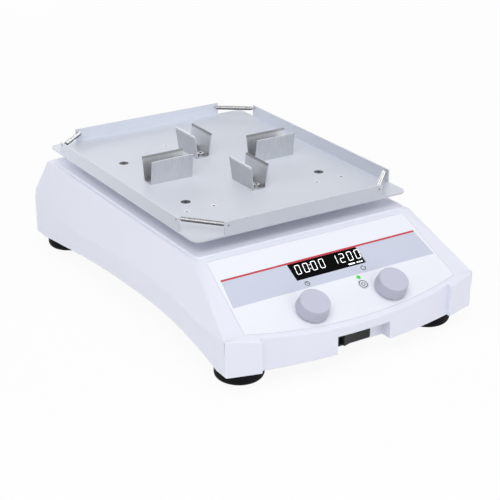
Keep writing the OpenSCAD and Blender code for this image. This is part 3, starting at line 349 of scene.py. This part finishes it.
# Crease of the right side wall above the skirt; the left one is its mirror image
CREASE_LOW = Vector((130.5, -150.0, 52.6)) * MM
CREASE_HIGH = Vector((133.0, 60.0, 59.0)) * MM


def group_of(name):
    """An empty group of geometry nodes, with its start and its end."""
    group = bpy.data.node_groups.new(name, "GeometryNodeTree")
    group.interface.new_socket("Geometry", in_out="INPUT", socket_type="NodeSocketGeometry")
    group.interface.new_socket("Geometry", in_out="OUTPUT", socket_type="NodeSocketGeometry")
    return group, group.nodes.new("NodeGroupInput"), group.nodes.new("NodeGroupOutput")


def passes(group, operation, value, bound):
    """Whether a value stands on the right side of a bound."""
    test = operator(group, "FunctionNodeCompare", operation)
    wire(group, value, test.inputs[0])
    test.inputs[1].default_value = bound
    return test.outputs["Result"]


def clamped(group, value, low, high):
    """A vector kept inside a box."""
    for operation, bound in (("MAXIMUM", low), ("MINIMUM", high)):
        limit = operator(group, "ShaderNodeVectorMath", operation)
        limit.inputs[1].default_value = bound
        wire(group, value, limit.inputs[0])
        value = limit.outputs["Vector"]
    return value


def distance(group, start, end):
    """The distance between two places."""
    away = operator(group, "ShaderNodeVectorMath", "DISTANCE")
    wire(group, start, away.inputs[0])
    wire(group, end, away.inputs[1])
    return away.outputs["Value"]


def make_weld_group():
    """Joins the vertices along the edges of a part, and drops its stored normals."""
    group, start, end = group_of("weld")
    drop = group.nodes.new("GeometryNodeRemoveAttribute")
    drop.inputs["Name"].default_value = "custom_normal"
    merge = group.nodes.new("GeometryNodeMergeByDistance")
    merge.inputs["Distance"].default_value = TOUCH
    wire(group, start.outputs[0], drop.inputs["Geometry"])
    wire(group, drop.outputs["Geometry"], merge.inputs["Geometry"])
    wire(group, merge.outputs["Geometry"], end.inputs[0])
    return group


def limit_by_place(group, limit, fine_limit, low, high):
    """A limit that is finer inside a box and inside its mirror image."""
    place = parts_of(group, group.nodes.new("GeometryNodeInputPosition").outputs["Position"])
    half = operator(group, "ShaderNodeMath", "ABSOLUTE")
    wire(group, place["X"], half.inputs[0])
    joined = group.nodes.new("ShaderNodeCombineXYZ")
    wire(group, half.outputs[0], joined.inputs["X"])
    wire(group, place["Y"], joined.inputs["Y"])
    wire(group, place["Z"], joined.inputs["Z"])
    away = distance(group, joined.outputs[0], clamped(group, joined.outputs[0], low, high))
    choose = group.nodes.new("GeometryNodeSwitch")
    choose.input_type = "FLOAT"
    choose.inputs["False"].default_value = limit
    choose.inputs["True"].default_value = fine_limit
    wire(group, passes(group, "LESS_THAN", away, TOUCH), choose.inputs["Switch"])
    return choose.outputs["Output"]


def make_shade_group(name, limit, fine_limit=None, low=None, high=None):
    """Smooth faces, with sharp edges where faces meet at more than a limit.

    Where a fine limit is given, it holds inside a box and inside its mirror image.
    """
    group, start, end = group_of(name)
    faces = group.nodes.new("GeometryNodeSetShadeSmooth")
    faces.domain = "FACE"
    edges = group.nodes.new("GeometryNodeSetShadeSmooth")
    edges.domain = "EDGE"
    angle = group.nodes.new("GeometryNodeInputMeshEdgeAngle")
    flat = operator(group, "FunctionNodeCompare", "LESS_THAN")
    flat.inputs[1].default_value = limit
    if fine_limit:
        wire(group, limit_by_place(group, limit, fine_limit, low, high), flat.inputs[1])
    wire(group, start.outputs[0], faces.inputs["Geometry"])
    wire(group, faces.outputs["Geometry"], edges.inputs["Geometry"])
    wire(group, angle.outputs["Unsigned Angle"], flat.inputs[0])
    wire(group, flat.outputs["Result"], edges.inputs["Shade Smooth"])
    wire(group, edges.outputs["Geometry"], end.inputs[0])
    return group


def make_pick_group(neighbour):
    """Marks the folds of a part that are to be rounded.

    They look into open space, are not tiny, and stand clear of a neighbour and of hollow folds.
    """
    group, start, end = group_of("pick")
    fold = group.nodes.new("GeometryNodeInputMeshEdgeAngle")
    ends = group.nodes.new("GeometryNodeInputMeshEdgeVertices")
    reach = distance(group, ends.outputs["Position 1"], ends.outputs["Position 2"])
    other = group.nodes.new("GeometryNodeObjectInfo")
    other.inputs["Object"].default_value = neighbour
    near = group.nodes.new("GeometryNodeProximity")
    wire(group, other.outputs["Geometry"], near.inputs[0])
    hollows = group.nodes.new("GeometryNodeSeparateGeometry")
    hollows.domain = "EDGE"
    wire(group, start.outputs[0], hollows.inputs["Geometry"])
    wire(group, passes(group, "LESS_THAN", fold.outputs["Signed Angle"], -ROUND_FROM),
         hollows.inputs["Selection"])
    hollow = group.nodes.new("GeometryNodeProximity")
    hollow.target_element = "EDGES"
    wire(group, hollows.outputs["Selection"], hollow.inputs[0])
    place = group.nodes.new("GeometryNodeInputPosition")
    normal = group.nodes.new("GeometryNodeInputNormal")
    ahead = operator(group, "ShaderNodeVectorMath", "MULTIPLY_ADD")
    ahead.inputs[1].default_value = (RAY_START, RAY_START, RAY_START)
    wire(group, normal.outputs["Normal"], ahead.inputs[0])
    wire(group, place.outputs["Position"], ahead.inputs[2])
    ray = group.nodes.new("GeometryNodeRaycast")
    ray.inputs["Ray Length"].default_value = RAY_LENGTH
    wire(group, start.outputs[0], ray.inputs["Target Geometry"])
    wire(group, ahead.outputs["Vector"], ray.inputs["Source Position"])
    wire(group, normal.outputs["Normal"], ray.inputs["Ray Direction"])
    open_space = operator(group, "FunctionNodeBooleanMath", "NOT")
    wire(group, ray.outputs["Is Hit"], open_space.inputs[0])
    picked = open_space.outputs[0]
    for value, bound in ((fold.outputs["Unsigned Angle"], ROUND_FROM), (reach, SHORTEST_FOLD),
                         (near.outputs["Distance"], ROUND_CLEARANCE),
                         (hollow.outputs["Distance"], ROUND_CLEARANCE)):
        both = operator(group, "FunctionNodeBooleanMath", "AND")
        wire(group, picked, both.inputs[0])
        wire(group, passes(group, "GREATER_THAN", value, bound), both.inputs[1])
        picked = both.outputs[0]
    store = group.nodes.new("GeometryNodeStoreNamedAttribute")
    store.data_type = "FLOAT"
    store.domain = "EDGE"
    store.inputs["Name"].default_value = "bevel_weight_edge"
    wire(group, start.outputs[0], store.inputs["Geometry"])
    wire(group, picked, store.inputs["Value"])
    wire(group, store.outputs["Geometry"], end.inputs[0])
    return group


def make_keep_group(low, high):
    """Keeps the rounded edges of a part inside the box of the part."""
    group, start, end = group_of("keep")
    place = group.nodes.new("GeometryNodeInputPosition")
    move = group.nodes.new("GeometryNodeSetPosition")
    wire(group, start.outputs[0], move.inputs["Geometry"])
    wire(group, clamped(group, place.outputs["Position"], low, high), move.inputs["Position"])
    wire(group, move.outputs["Geometry"], end.inputs[0])
    return group


WELD = make_weld_group()
SHADE = make_shade_group("shade", SHARP)
SHADE_CREASE = make_shade_group("shade_crease", SHARP, CREASE_SHARP, CREASE_LOW, CREASE_HIGH)
PICK = make_pick_group(NODES["panel_overlay"])
KEEP = make_keep_group(*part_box("housing_shell"))


def add_group(obj, group):
    """Puts a group of geometry nodes on an object."""
    obj.modifiers.new(group.name, "NODES").node_group = group


def round_edges(obj, width, picked=False):
    """Rounds the edges between the whole faces of a part, or only the picked folds of the housing."""
    add_group(obj, WELD)
    if width:
        if picked:
            add_group(obj, PICK)
        else:
            flat = obj.modifiers.new("flat_faces", "DECIMATE")
            flat.decimate_type = "DISSOLVE"
            flat.angle_limit = FLAT_WITHIN
        bevel = obj.modifiers.new("edges", "BEVEL")
        bevel.width = width
        bevel.segments = 3 if picked else 2
        bevel.limit_method = "WEIGHT" if picked else "ANGLE"
        bevel.angle_limit = ROUND_FROM
        bevel.use_clamp_overlap = not picked
        bevel.miter_outer = "MITER_ARC"
    if picked:
        add_group(obj, KEEP)
    add_group(obj, SHADE_CREASE if picked else SHADE)
    level = obj.modifiers.new("level_normals", "WEIGHTED_NORMAL")
    level.keep_sharp = True


EDGE_WIDTHS = {
    "housing_shell": 1.1 * MM,
    "display_window": 0.15 * MM,
    "tray": 0.45 * MM,
    **{side + "_clip": 0.3 * MM for side in ("front", "rear", "left", "right")},
    "carrier_plate": 0.6 * MM,
    "base_pan": 0.4 * MM,
    "switch_body": 0.4 * MM,
    "power_rocker": 0.5 * MM,
    "power_inlet": 0.5 * MM,
    "fuse_drawer": 0.35 * MM,
    "standby_button": 0.25 * MM,
    "clip_screws": 0.25 * MM,
    "tray_screws": 0.12 * MM,
    "foot_screws": 0.3 * MM,
    "pan_screws": 0.25 * MM,
    "inlet_screws": 0.2 * MM,
    "motor_case": 0.8 * MM,
    "drive_block": 0.6 * MM,
}

for name, node in NODES.items():
    material = materials[SLOTS[name]]
    if name in ("left_clip", "right_clip"):
        material = clip_across
    node.data.materials.clear()
    node.data.materials.append(material)
    round_edges(node, EDGE_WIDTHS.get(name, 0.0), name == "housing_shell")


# Meshes of the pieces that are added

ON_AXIS = 1e-9


def add_piece(name, mesh, material, body, place=None):
    """Links a mesh as a piece of the object that moves with a body."""
    mesh.materials.append(material)
    piece = bpy.data.objects.new(name, mesh)
    bpy.context.scene.collection.objects.link(piece)
    if place is not None:
        mesh.transform(place)
    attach(piece, body)
    return piece


def finish_mesh(bm):
    """Turns a bmesh into a mesh with smooth faces and sharp edges past an angle."""
    bmesh.ops.recalc_face_normals(bm, faces=bm.faces)
    mesh = bpy.data.meshes.new("piece")
    bm.to_mesh(mesh)
    bm.free()
    mesh.shade_smooth()
    mesh.set_sharp_from_angle(angle=SHARP)
    return mesh


def arc(center, radius, start, end, steps):
    """Points on an arc, with the angles in degrees."""
    turn = [math.radians(start + (end - start) * i / steps) for i in range(steps + 1)]
    return [(center[0] + radius * math.cos(t), center[1] + radius * math.sin(t)) for t in turn]


def lathe(profile, steps=96):
    """Mesh turned about Z from a profile of radius and height, with one vertex where it meets the axis."""
    turns = [2 * math.pi * k / steps for k in range(steps)]
    bm = bmesh.new()
    rings = []
    for r, z in profile:
        if r < ON_AXIS:
            rings.append([bm.verts.new((0, 0, z))] * steps)
        else:
            rings.append([bm.verts.new((r * math.cos(t), r * math.sin(t), z)) for t in turns])
    for low, high in zip(rings, rings[1:]):
        for k in range(steps):
            corners = [low[k], low[(k + 1) % steps], high[(k + 1) % steps], high[k]]
            bm.faces.new(list(dict.fromkeys(corners)))
    return finish_mesh(bm)


def flats(outlines, thickness):
    """Thin solid shapes from closed outlines in X and Y, standing on z = 0."""
    bm = bmesh.new()
    for outline in outlines:
        low = [bm.verts.new((x, y, 0)) for x, y in outline]
        high = [bm.verts.new((x, y, thickness)) for x, y in outline]
        bm.faces.new(high)
        bm.faces.new(list(reversed(low)))
        for i in range(len(outline)):
            j = (i + 1) % len(outline)
            bm.faces.new((low[i], low[j], high[j], high[i]))
    return finish_mesh(bm)


def ring_band(inner, outer, start=0.0, end=360.0, steps=48):
    """Outlines of a ring or of a part of one, as four-sided cells."""
    a = arc((0, 0), inner, start, end, steps)
    b = arc((0, 0), outer, start, end, steps)
    return [[a[i], b[i], b[i + 1], a[i + 1]] for i in range(steps)]


# Knobs

KNOB_R = 15.0 * MM
KNOB_TOP_R = 13.9 * MM
KNOB_LOW = 1.8 * MM
KNOB_HIGH = 13.3 * MM
KNOB_FOOT = 0.6 * MM
KNOB_EDGE = 1.5 * MM
KNOB_TAPER = 4.0
KNOB_SHAFT_R = 3.0 * MM
KNOB_SHAFT_LOW = -8.2 * MM
# Radius and depth of the points of the dished top
KNOB_DISH = ((KNOB_TOP_R - 2.4 * MM, 0.06 * MM), (KNOB_TOP_R / 2, 0.25 * MM), (0.0, 0.3 * MM))


def knob_mesh():
    """A tapered knob with a dished top, on its shaft."""
    foot = arc((KNOB_R - KNOB_FOOT, KNOB_LOW + KNOB_FOOT), KNOB_FOOT, -90, 0, 5)
    brow = arc((KNOB_TOP_R - KNOB_EDGE, KNOB_HIGH - KNOB_EDGE), KNOB_EDGE, KNOB_TAPER, 90, 9)
    dish = [(r, KNOB_HIGH - depth) for r, depth in KNOB_DISH]
    return lathe([(0, KNOB_SHAFT_LOW), (KNOB_SHAFT_R, KNOB_SHAFT_LOW), (KNOB_SHAFT_R, KNOB_LOW),
                  *foot, *brow, *dish])


for side, sign in (("left", -1), ("right", 1)):
    knob = add_piece(side + "_dial", knob_mesh(), materials["knob"], side + "_turn",
                     on_slope(sign * KNOB_X, KNOB_S))
    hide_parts(side + "_knob")


# Feet

FOOT_EDGE = 5.0 * MM
FOOT_BROW = 0.8 * MM
FOOT_RECESS = 8.0 * MM
FOOT_CHAMFER = 0.6 * MM
FOOT_HOLE = 2.4 * MM


def foot_mesh(radius, top):
    """A rubber foot with a rounded sole and a recess, as deep as its radius, for the screw."""
    sole = arc((radius - FOOT_EDGE, FOOT_EDGE), FOOT_EDGE, -90, 0, 10)
    brow = arc((radius - FOOT_BROW, top - FOOT_BROW), FOOT_BROW, 0, 90, 5)
    return lathe([(FOOT_HOLE, top), (FOOT_HOLE, FOOT_RECESS), (FOOT_RECESS, FOOT_RECESS),
                  (FOOT_RECESS, FOOT_CHAMFER), (FOOT_RECESS + FOOT_CHAMFER, 0), *sole, *brow,
                  (FOOT_HOLE, top)])


for name in ("front_left_foot", "front_right_foot", "rear_left_foot", "rear_right_foot"):
    low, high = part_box(name)
    centre = Vector(((low.x + high.x) / 2, (low.y + high.y) / 2, 0))
    shape = foot_mesh((high.x - low.x) / 2, high.z)
    pad = add_piece(name + "_pad", shape, materials["rubber"], "base", Matrix.Translation(centre))
    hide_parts(name)


# Lamp

LED_X = 20.5 * MM
LED_S = 59.7 * MM
LED_R = 2.0 * MM
LED_LOW = -10.0 * MM
LED_RIM = 0.15 * MM
LED_DOME = 0.8 * MM


def lamp_mesh():
    """A round lens with a domed face."""
    dome = [(LED_R * x, LED_RIM + LED_DOME * y) for x, y in arc((0, 0), 1.0, 0, 90, 8)]
    return lathe([(0, LED_LOW), (LED_R, LED_LOW), *dome], 48)


lamp = add_piece("lamp_dome", lamp_mesh(), materials["lamp"], "base", on_slope(LED_X, LED_S))
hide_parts("led_lens")


# Printing on the control front

INK = 0.03 * MM
STRIPE_S = (25.7 * MM, 27.7 * MM)
BAND_S = (STRIPE_S[1], 56.5 * MM)
BAND_HALF = (105.0 * MM, 108.6 * MM)
WINDOW_HALF = 37.6 * MM
WINDOW_S = 46.6 * MM


def print_on_panel(name, outlines, material, lift=0.0, body="base", x=0.0, s=0.0):
    """Prints outlines on the control front, with their origin at x and s."""
    return add_piece(name, flats(outlines, INK), material, body, on_slope(x, s, lift))


def block(x0, x1, s0, s1):
    """Outline of a rectangle between two places across the slope and two places down it."""
    return [(x0, -s1), (x1, -s1), (x1, -s0), (x0, -s0)]


def bar(x0, y0, x1, y1, width):
    """Outline of a straight stroke."""
    way = Vector((x1 - x0, y1 - y0)).normalized() * (width / 2)
    return [(x0 - way.y, y0 + way.x), (x1 - way.y, y1 + way.x),
            (x1 + way.y, y1 - way.x), (x0 + way.y, y0 - way.x)]


def band_edge(s):
    """Half width of the grey band at a distance down the slope."""
    t = (s - BAND_S[0]) / (BAND_S[1] - BAND_S[0])
    return BAND_HALF[0] + t * (BAND_HALF[1] - BAND_HALF[0])


def band_outlines():
    """The grey band, which leaves out the display window."""
    top, low = BAND_S
    mid = WINDOW_S
    cells = [[(-band_edge(mid), -mid), (-band_edge(low), -low),
              (band_edge(low), -low), (band_edge(mid), -mid)]]
    for sign in (-1, 1):
        cells.append([(sign * WINDOW_HALF, -top), (sign * WINDOW_HALF, -mid), (sign * band_edge(mid), -mid),
                      (sign * band_edge(top), -top)])
    return cells


print_on_panel("red_stripe", [block(-BAND_HALF[0], BAND_HALF[0], *STRIPE_S)], print_red)
print_on_panel("grey_band", band_outlines(), print_grey)

# A clock face above the left knob and a turning arrow above the right knob
ICON_R = 2.6 * MM
ICON_LINE = 0.75 * MM
CLOCK_X = -30.0 * MM
CLOCK_S = 52.0 * MM
CLOCK_HANDS = ((0.0, 1.6 * MM), (1.2 * MM, 0.0))
ARROW_X = 31.0 * MM
ARROW_S = 51.5 * MM
ARROW_START = 60.0
ARROW_BARB = 0.7 * MM
ARROW_LOW = 0.1 * MM
ARROW_TIP = 1.5 * MM

clock = ring_band(ICON_R - ICON_LINE, ICON_R)
clock += [bar(0, 0, x, y, ICON_LINE) for x, y in CLOCK_HANDS]
print_on_panel("clock_mark", clock, print_dark, lift=INK, x=CLOCK_X, s=CLOCK_S)
arrow = ring_band(ICON_R - ICON_LINE, ICON_R, ARROW_START, steps=40)
arrow.append([(ICON_R + ARROW_BARB, ARROW_LOW), (ICON_R - ICON_LINE - ARROW_BARB, ARROW_LOW),
              (ICON_R - ICON_LINE / 2, ARROW_TIP)])
print_on_panel("turning_mark", arrow, print_dark, lift=INK, x=ARROW_X, s=ARROW_S)

# Standby mark on its button
STANDBY_S = 68.0 * MM
STANDBY_PROUD = 0.3 * MM
STANDBY_RING = (3.4 * MM, 4.25 * MM)
STANDBY_ARC = (1.3 * MM, 2.1 * MM)
STANDBY_ARC_ENDS = (125.0, 415.0)
STANDBY_BAR = (0.5 * MM, 2.4 * MM)
STANDBY_LINE = 0.8 * MM

standby = ring_band(*STANDBY_RING)
standby += ring_band(*STANDBY_ARC, *STANDBY_ARC_ENDS, steps=30)
standby.append(bar(0, STANDBY_BAR[0], 0, STANDBY_BAR[1], STANDBY_LINE))
print_on_panel("standby_mark", standby, print_dark, lift=STANDBY_PROUD, body="standby",
               x=LED_X, s=STANDBY_S)

# Digits and marks of the display
DIGIT_W = 5.2 * MM
DIGIT_H = 10.2 * MM
DIGIT_T = 0.64 * MM
DIGIT_GAP = 0.12 * MM
DIGIT_SLANT = 0.17
DIGIT_S = 40.6 * MM
DIGIT_STEP = 8.5 * MM
TIME_DIGITS = "0000"
SPEED_DIGITS = "1200"
DIGIT_STARTS = {TIME_DIGITS: -33.6 * MM, SPEED_DIGITS: 5.6 * MM}
SEGMENTS = {"0": "abcdef", "1": "bc", "2": "abged"}
COLON_R = 0.5 * MM
COLON_HEIGHTS = (0.3, 0.7)
MARK_S = (43.3 * MM, 44.7 * MM)
# Left end and width of each mark under the speed
MARKS = ((19.5 * MM, 7.0 * MM), (28.6 * MM, 1.6 * MM), (31.0 * MM, 1.6 * MM), (33.4 * MM, 1.6 * MM))


def segment_outline(key):
    """One segment of a seven-segment digit, as a stroke with pointed ends."""
    w, h, half = DIGIT_W, DIGIT_H, DIGIT_T / 2
    mid = h / 2
    flat = {"a": h - half, "g": mid, "d": half}
    if key in flat:
        y = flat[key]
        x0 = half + DIGIT_GAP
        x1 = w - half - DIGIT_GAP
        return [(x0, y), (x0 + half, y + half), (x1 - half, y + half), (x1, y), (x1 - half, y - half),
                (x0 + half, y - half)]
    x = half if key in "ef" else w - half
    y0, y1 = (mid + DIGIT_GAP, h - half - DIGIT_GAP) if key in "bf" else (half + DIGIT_GAP, mid - DIGIT_GAP)
    return [(x, y0), (x + half, y0 + half), (x + half, y1 - half), (x, y1), (x - half, y1 - half),
            (x - half, y0 + half)]


def slanted(outline, x):
    """An outline moved to its place in the display and slanted."""
    return [(x + px + DIGIT_SLANT * py, py - DIGIT_S) for px, py in outline]


digits = []
for text, start in DIGIT_STARTS.items():
    for i, figure in enumerate(text):
        digits += [slanted(segment_outline(key), start + i * DIGIT_STEP) for key in SEGMENTS[figure]]
colon_x = DIGIT_STARTS[TIME_DIGITS] + 2 * DIGIT_STEP - (DIGIT_STEP - DIGIT_W) / 2
for height in COLON_HEIGHTS:
    digits.append(slanted(arc((0, height * DIGIT_H), COLON_R, 0, 360, 10)[:-1], colon_x))
digits += [block(x, x + width, *MARK_S) for x, width in MARKS]
print_on_panel("display_digits", digits, digit_white)


# Corner springs, wound close as extension springs are

WIRE_R = 0.4 * MM
COIL_R = 1.8 * MM
COIL_PITCH = 1.02 * MM
COIL_STEPS = 14
SWELL_TURNS = 1.5
SHEET = 1.5 * MM
SIDE_HOLE_Z = 12.0 * MM
END_HOLE_Z = 10.2 * MM
SPRING_TAIL = 0.6 * MM
SPRING_LEAD = 1.6 * MM
END_HOLE_X = 82.0 * MM
SIDE_HOLE_Y = 117.0 * MM

tray_low, tray_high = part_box("tray")
tray_half = (tray_high - tray_low) / 2
tray_middle = (tray_low + tray_high) / 2
tray_middle.z = tray_low.z


def smooth_step(t):
    """A share that eases in and out between 0 and 1."""
    t = min(1.0, max(0.0, t))
    return t * t * (3 - 2 * t)


def spring_points(right, rear):
    """Path of a spring from the side flange to the end flange of one corner of the tray."""
    side_out = Vector((1 if right else -1, 0, 0))
    end_out = Vector((0, 1 if rear else -1, 0))
    up = Vector((0, 0, 1))
    side_hole = tray_middle + side_out * tray_half.x + end_out * SIDE_HOLE_Y + up * SIDE_HOLE_Z
    end_hole = tray_middle + side_out * END_HOLE_X + end_out * tray_half.y + up * END_HOLE_Z
    side_knee = side_hole - side_out * (SHEET + SPRING_LEAD)
    end_knee = end_hole - end_out * (SHEET + SPRING_LEAD)
    way = (end_knee - side_knee).normalized()
    across = up.cross(way).normalized()
    above = way.cross(across)
    start = side_knee + way * 2 * WIRE_R
    length = (end_knee - side_knee).length - 4 * WIRE_R
    turns = round(length / COIL_PITCH)
    points = [side_hole + side_out * SPRING_TAIL, side_knee + side_out * WIRE_R]
    for i in range(turns * COIL_STEPS + 1):
        turn = i / COIL_STEPS
        swell = COIL_R * smooth_step(min(turn, turns - turn) / SWELL_TURNS)
        angle = 2 * math.pi * turn
        coil = across * math.cos(angle) + above * math.sin(angle)
        points.append(start + way * (length * turn / turns) + swell * coil)
    points += [end_knee + end_out * WIRE_R, end_hole + end_out * SPRING_TAIL]
    return points


def tube_curve(name, points, radius):
    """A round wire along a path."""
    curve = bpy.data.curves.new(name, "CURVE")
    curve.dimensions = "3D"
    curve.bevel_depth = radius
    curve.bevel_resolution = 3
    curve.use_fill_caps = True
    spline = curve.splines.new("POLY")
    spline.points.add(len(points) - 1)
    for point, place in zip(spline.points, points):
        point.co = (*place, 1)
    spline.use_smooth = True
    return curve


for right in (False, True):
    for rear in (False, True):
        name = "%s_%s_spring" % ("rear" if rear else "front", "right" if right else "left")
        curve = tube_curve(name + "_coil", spring_points(right, rear), WIRE_R)
        coil = add_piece(name + "_coil", curve, materials["spring"], "platform")
        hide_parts(name)


# Threaded inserts pressed into the spare holes of the tray

SPARE_PAIRS = ((-72.0 * MM, -84.0 * MM), (72.0 * MM, -84.0 * MM), (0.0, 86.0 * MM))
SPARE_HALF = 14.3 * MM
SPARE_HOLES = [(x + side * SPARE_HALF, y) for side in (-1, 1) for x, y in SPARE_PAIRS]
INSERT_R = 2.05 * MM
COLLAR_R = 2.9 * MM
COLLAR_EDGE = 0.12 * MM
COLLAR_LIFT = 0.01 * MM
THREAD_R = 1.35 * MM
THREAD_LEAD = 0.3 * MM


def insert_mesh():
    """A sleeve through the sheet, with a rounded collar on top and a chamfer into its bore."""
    top = 2 * COLLAR_LIFT + COLLAR_EDGE
    edge = arc((COLLAR_R - COLLAR_EDGE, 2 * COLLAR_LIFT), COLLAR_EDGE, 0, 90, 4)
    return lathe([(THREAD_R, -SHEET), (INSERT_R, -SHEET), (INSERT_R, COLLAR_LIFT), (COLLAR_R, COLLAR_LIFT),
                  *edge, (THREAD_R + THREAD_LEAD, top), (THREAD_R, top - THREAD_LEAD),
                  (THREAD_R, -SHEET)], 40)


for i, (x, y) in enumerate(SPARE_HOLES):
    place = Matrix.Translation(tray_middle + Vector((x, y, SHEET)))
    add_piece("insert_%d" % i, insert_mesh(), insert_steel, "platform", place)


# Floor and light

FLOOR_HALF = 4.0
FLOOR_CELLS = 8
FLOOR_COLOR = (0.93, 0.93, 0.94, 1)
FLOOR_FADE = (0.7, 1.8)
FLOOR_WHITE = (0.92, 1.0)
DOME_COLOR = (0.97, 0.98, 1.0, 1)
DOME_STRENGTH = 0.20
WHITE = (1, 1, 1, 1)
LIGHT_TARGET = Vector((0.0, 0.0, 0.05))
# Name, place, size, power, and whether the lamp casts shadows
LIGHTS = (
    ("key_light", (-1.1, -1.1, 1.6), 1.0, 15, True),
    ("top_light", (0.0, -0.5, 2.0), 2.4, 17, False),
    ("left_light", (-1.96, 0.0, 0.4), 1.6, 10, True),
    ("front_light", (0.6, -1.9, 0.4), 1.6, 11, True),
    ("right_light", (1.96, 0.0, 0.4), 1.6, 12, True),
    ("rear_light", (0.0, 1.96, 0.4), 1.6, 11, True),
)


def background_rays(tree):
    """Socket that is 1 for the rays that see the background itself rather than its light."""
    path = tree.nodes.new("ShaderNodeLightPath")
    seen = path.outputs["Is Camera Ray"]
    for other in ("Is Glossy Ray", "Is Transmission Ray"):
        either = operator(tree, "ShaderNodeMath", "MAXIMUM")
        wire(tree, seen, either.inputs[0])
        wire(tree, path.outputs[other], either.inputs[1])
        seen = either.outputs[0]
    return seen


def show_white(tree, kind, share, lit, white):
    """Ends a tree in a mix of a lit shader and a white one."""
    out = tree.nodes.new(kind)
    mix = tree.nodes.new("ShaderNodeMixShader")
    wire(tree, share, mix.inputs[0])
    wire(tree, lit.outputs[0], mix.inputs[1])
    wire(tree, white.outputs[0], mix.inputs[2])
    wire(tree, mix.outputs[0], out.inputs["Surface"])


def floor_material():
    """A pale surface that takes the shadow of the object and turns to plain white towards its rim."""
    mat = bpy.data.materials.new("pale_floor")
    mat.use_nodes = True
    tree = mat.node_tree
    tree.nodes.clear()
    lit = tree.nodes.new("ShaderNodeBsdfDiffuse")
    lit.inputs["Color"].default_value = FLOOR_COLOR
    white = tree.nodes.new("ShaderNodeEmission")
    white.inputs["Color"].default_value = WHITE
    white.inputs["Strength"].default_value = 1.0
    away = operator(tree, "ShaderNodeVectorMath", "LENGTH")
    wire(tree, tree.nodes.new("ShaderNodeTexCoord").outputs["Object"], away.inputs[0])
    share = operator(tree, "ShaderNodeMath", "MULTIPLY")
    wire(tree, background_rays(tree), share.inputs[0])
    wire(tree, ramp_of(tree, away.outputs["Value"], *FLOOR_FADE, *FLOOR_WHITE), share.inputs[1])
    show_white(tree, "ShaderNodeOutputMaterial", share.outputs[0], lit, white)
    return mat


def make_floor():
    """A level floor under the object."""
    bm = bmesh.new()
    bmesh.ops.create_grid(bm, x_segments=FLOOR_CELLS, y_segments=FLOOR_CELLS, size=FLOOR_HALF)
    mesh = bpy.data.meshes.new("floor")
    bm.to_mesh(mesh)
    bm.free()
    mesh.materials.append(floor_material())
    floor = bpy.data.objects.new("floor", mesh)
    bpy.context.scene.collection.objects.link(floor)


def make_world():
    """An even studio dome, which camera, glossy and transmitted rays see as white."""
    world = bpy.data.worlds.new("studio")
    bpy.context.scene.world = world
    world.use_nodes = True
    tree = world.node_tree
    tree.nodes.clear()
    light = tree.nodes.new("ShaderNodeBackground")
    light.inputs["Color"].default_value = DOME_COLOR
    light.inputs["Strength"].default_value = DOME_STRENGTH
    white = tree.nodes.new("ShaderNodeBackground")
    white.inputs["Color"].default_value = WHITE
    white.inputs["Strength"].default_value = 1.0
    show_white(tree, "ShaderNodeOutputWorld", background_rays(tree), light, white)


def area_light(name, place, size, power, shadow):
    """A square lamp that points at the object and is not seen itself."""
    data = bpy.data.lights.new(name, "AREA")
    data.shape = "SQUARE"
    data.size = size
    data.energy = power
    data.use_shadow = shadow
    light = bpy.data.objects.new(name, data)
    light.visible_camera = False
    bpy.context.scene.collection.objects.link(light)
    light.location = place
    light.rotation_mode = "QUATERNION"
    light.rotation_quaternion = (LIGHT_TARGET - Vector(place)).to_track_quat("-Z", "Y")


make_floor()
make_world()
for row in LIGHTS:
    area_light(*row)


# Camera

CAMERA_PLACE = (-0.6460, -1.0416, 0.5684)
CAMERA_YAW = math.radians(32.222)
CAMERA_PITCH = math.radians(23.548)
CAMERA_FOCAL_PX = 1355.3
IMAGE_PX = 500
SENSOR_MM = 36.0


def make_camera():
    """The camera that stands where the photograph was taken from."""
    data = bpy.data.cameras.new("camera")
    data.sensor_width = SENSOR_MM
    data.lens = CAMERA_FOCAL_PX / IMAGE_PX * SENSOR_MM
    camera = bpy.data.objects.new("camera", data)
    bpy.context.scene.collection.objects.link(camera)
    camera.location = CAMERA_PLACE
    camera.rotation_euler = (math.pi / 2 - CAMERA_PITCH, 0, -CAMERA_YAW)
    bpy.context.scene.camera = camera


make_camera()
bpy.context.scene.view_settings.view_transform = "Standard"

bpy.context.view_layer.update()
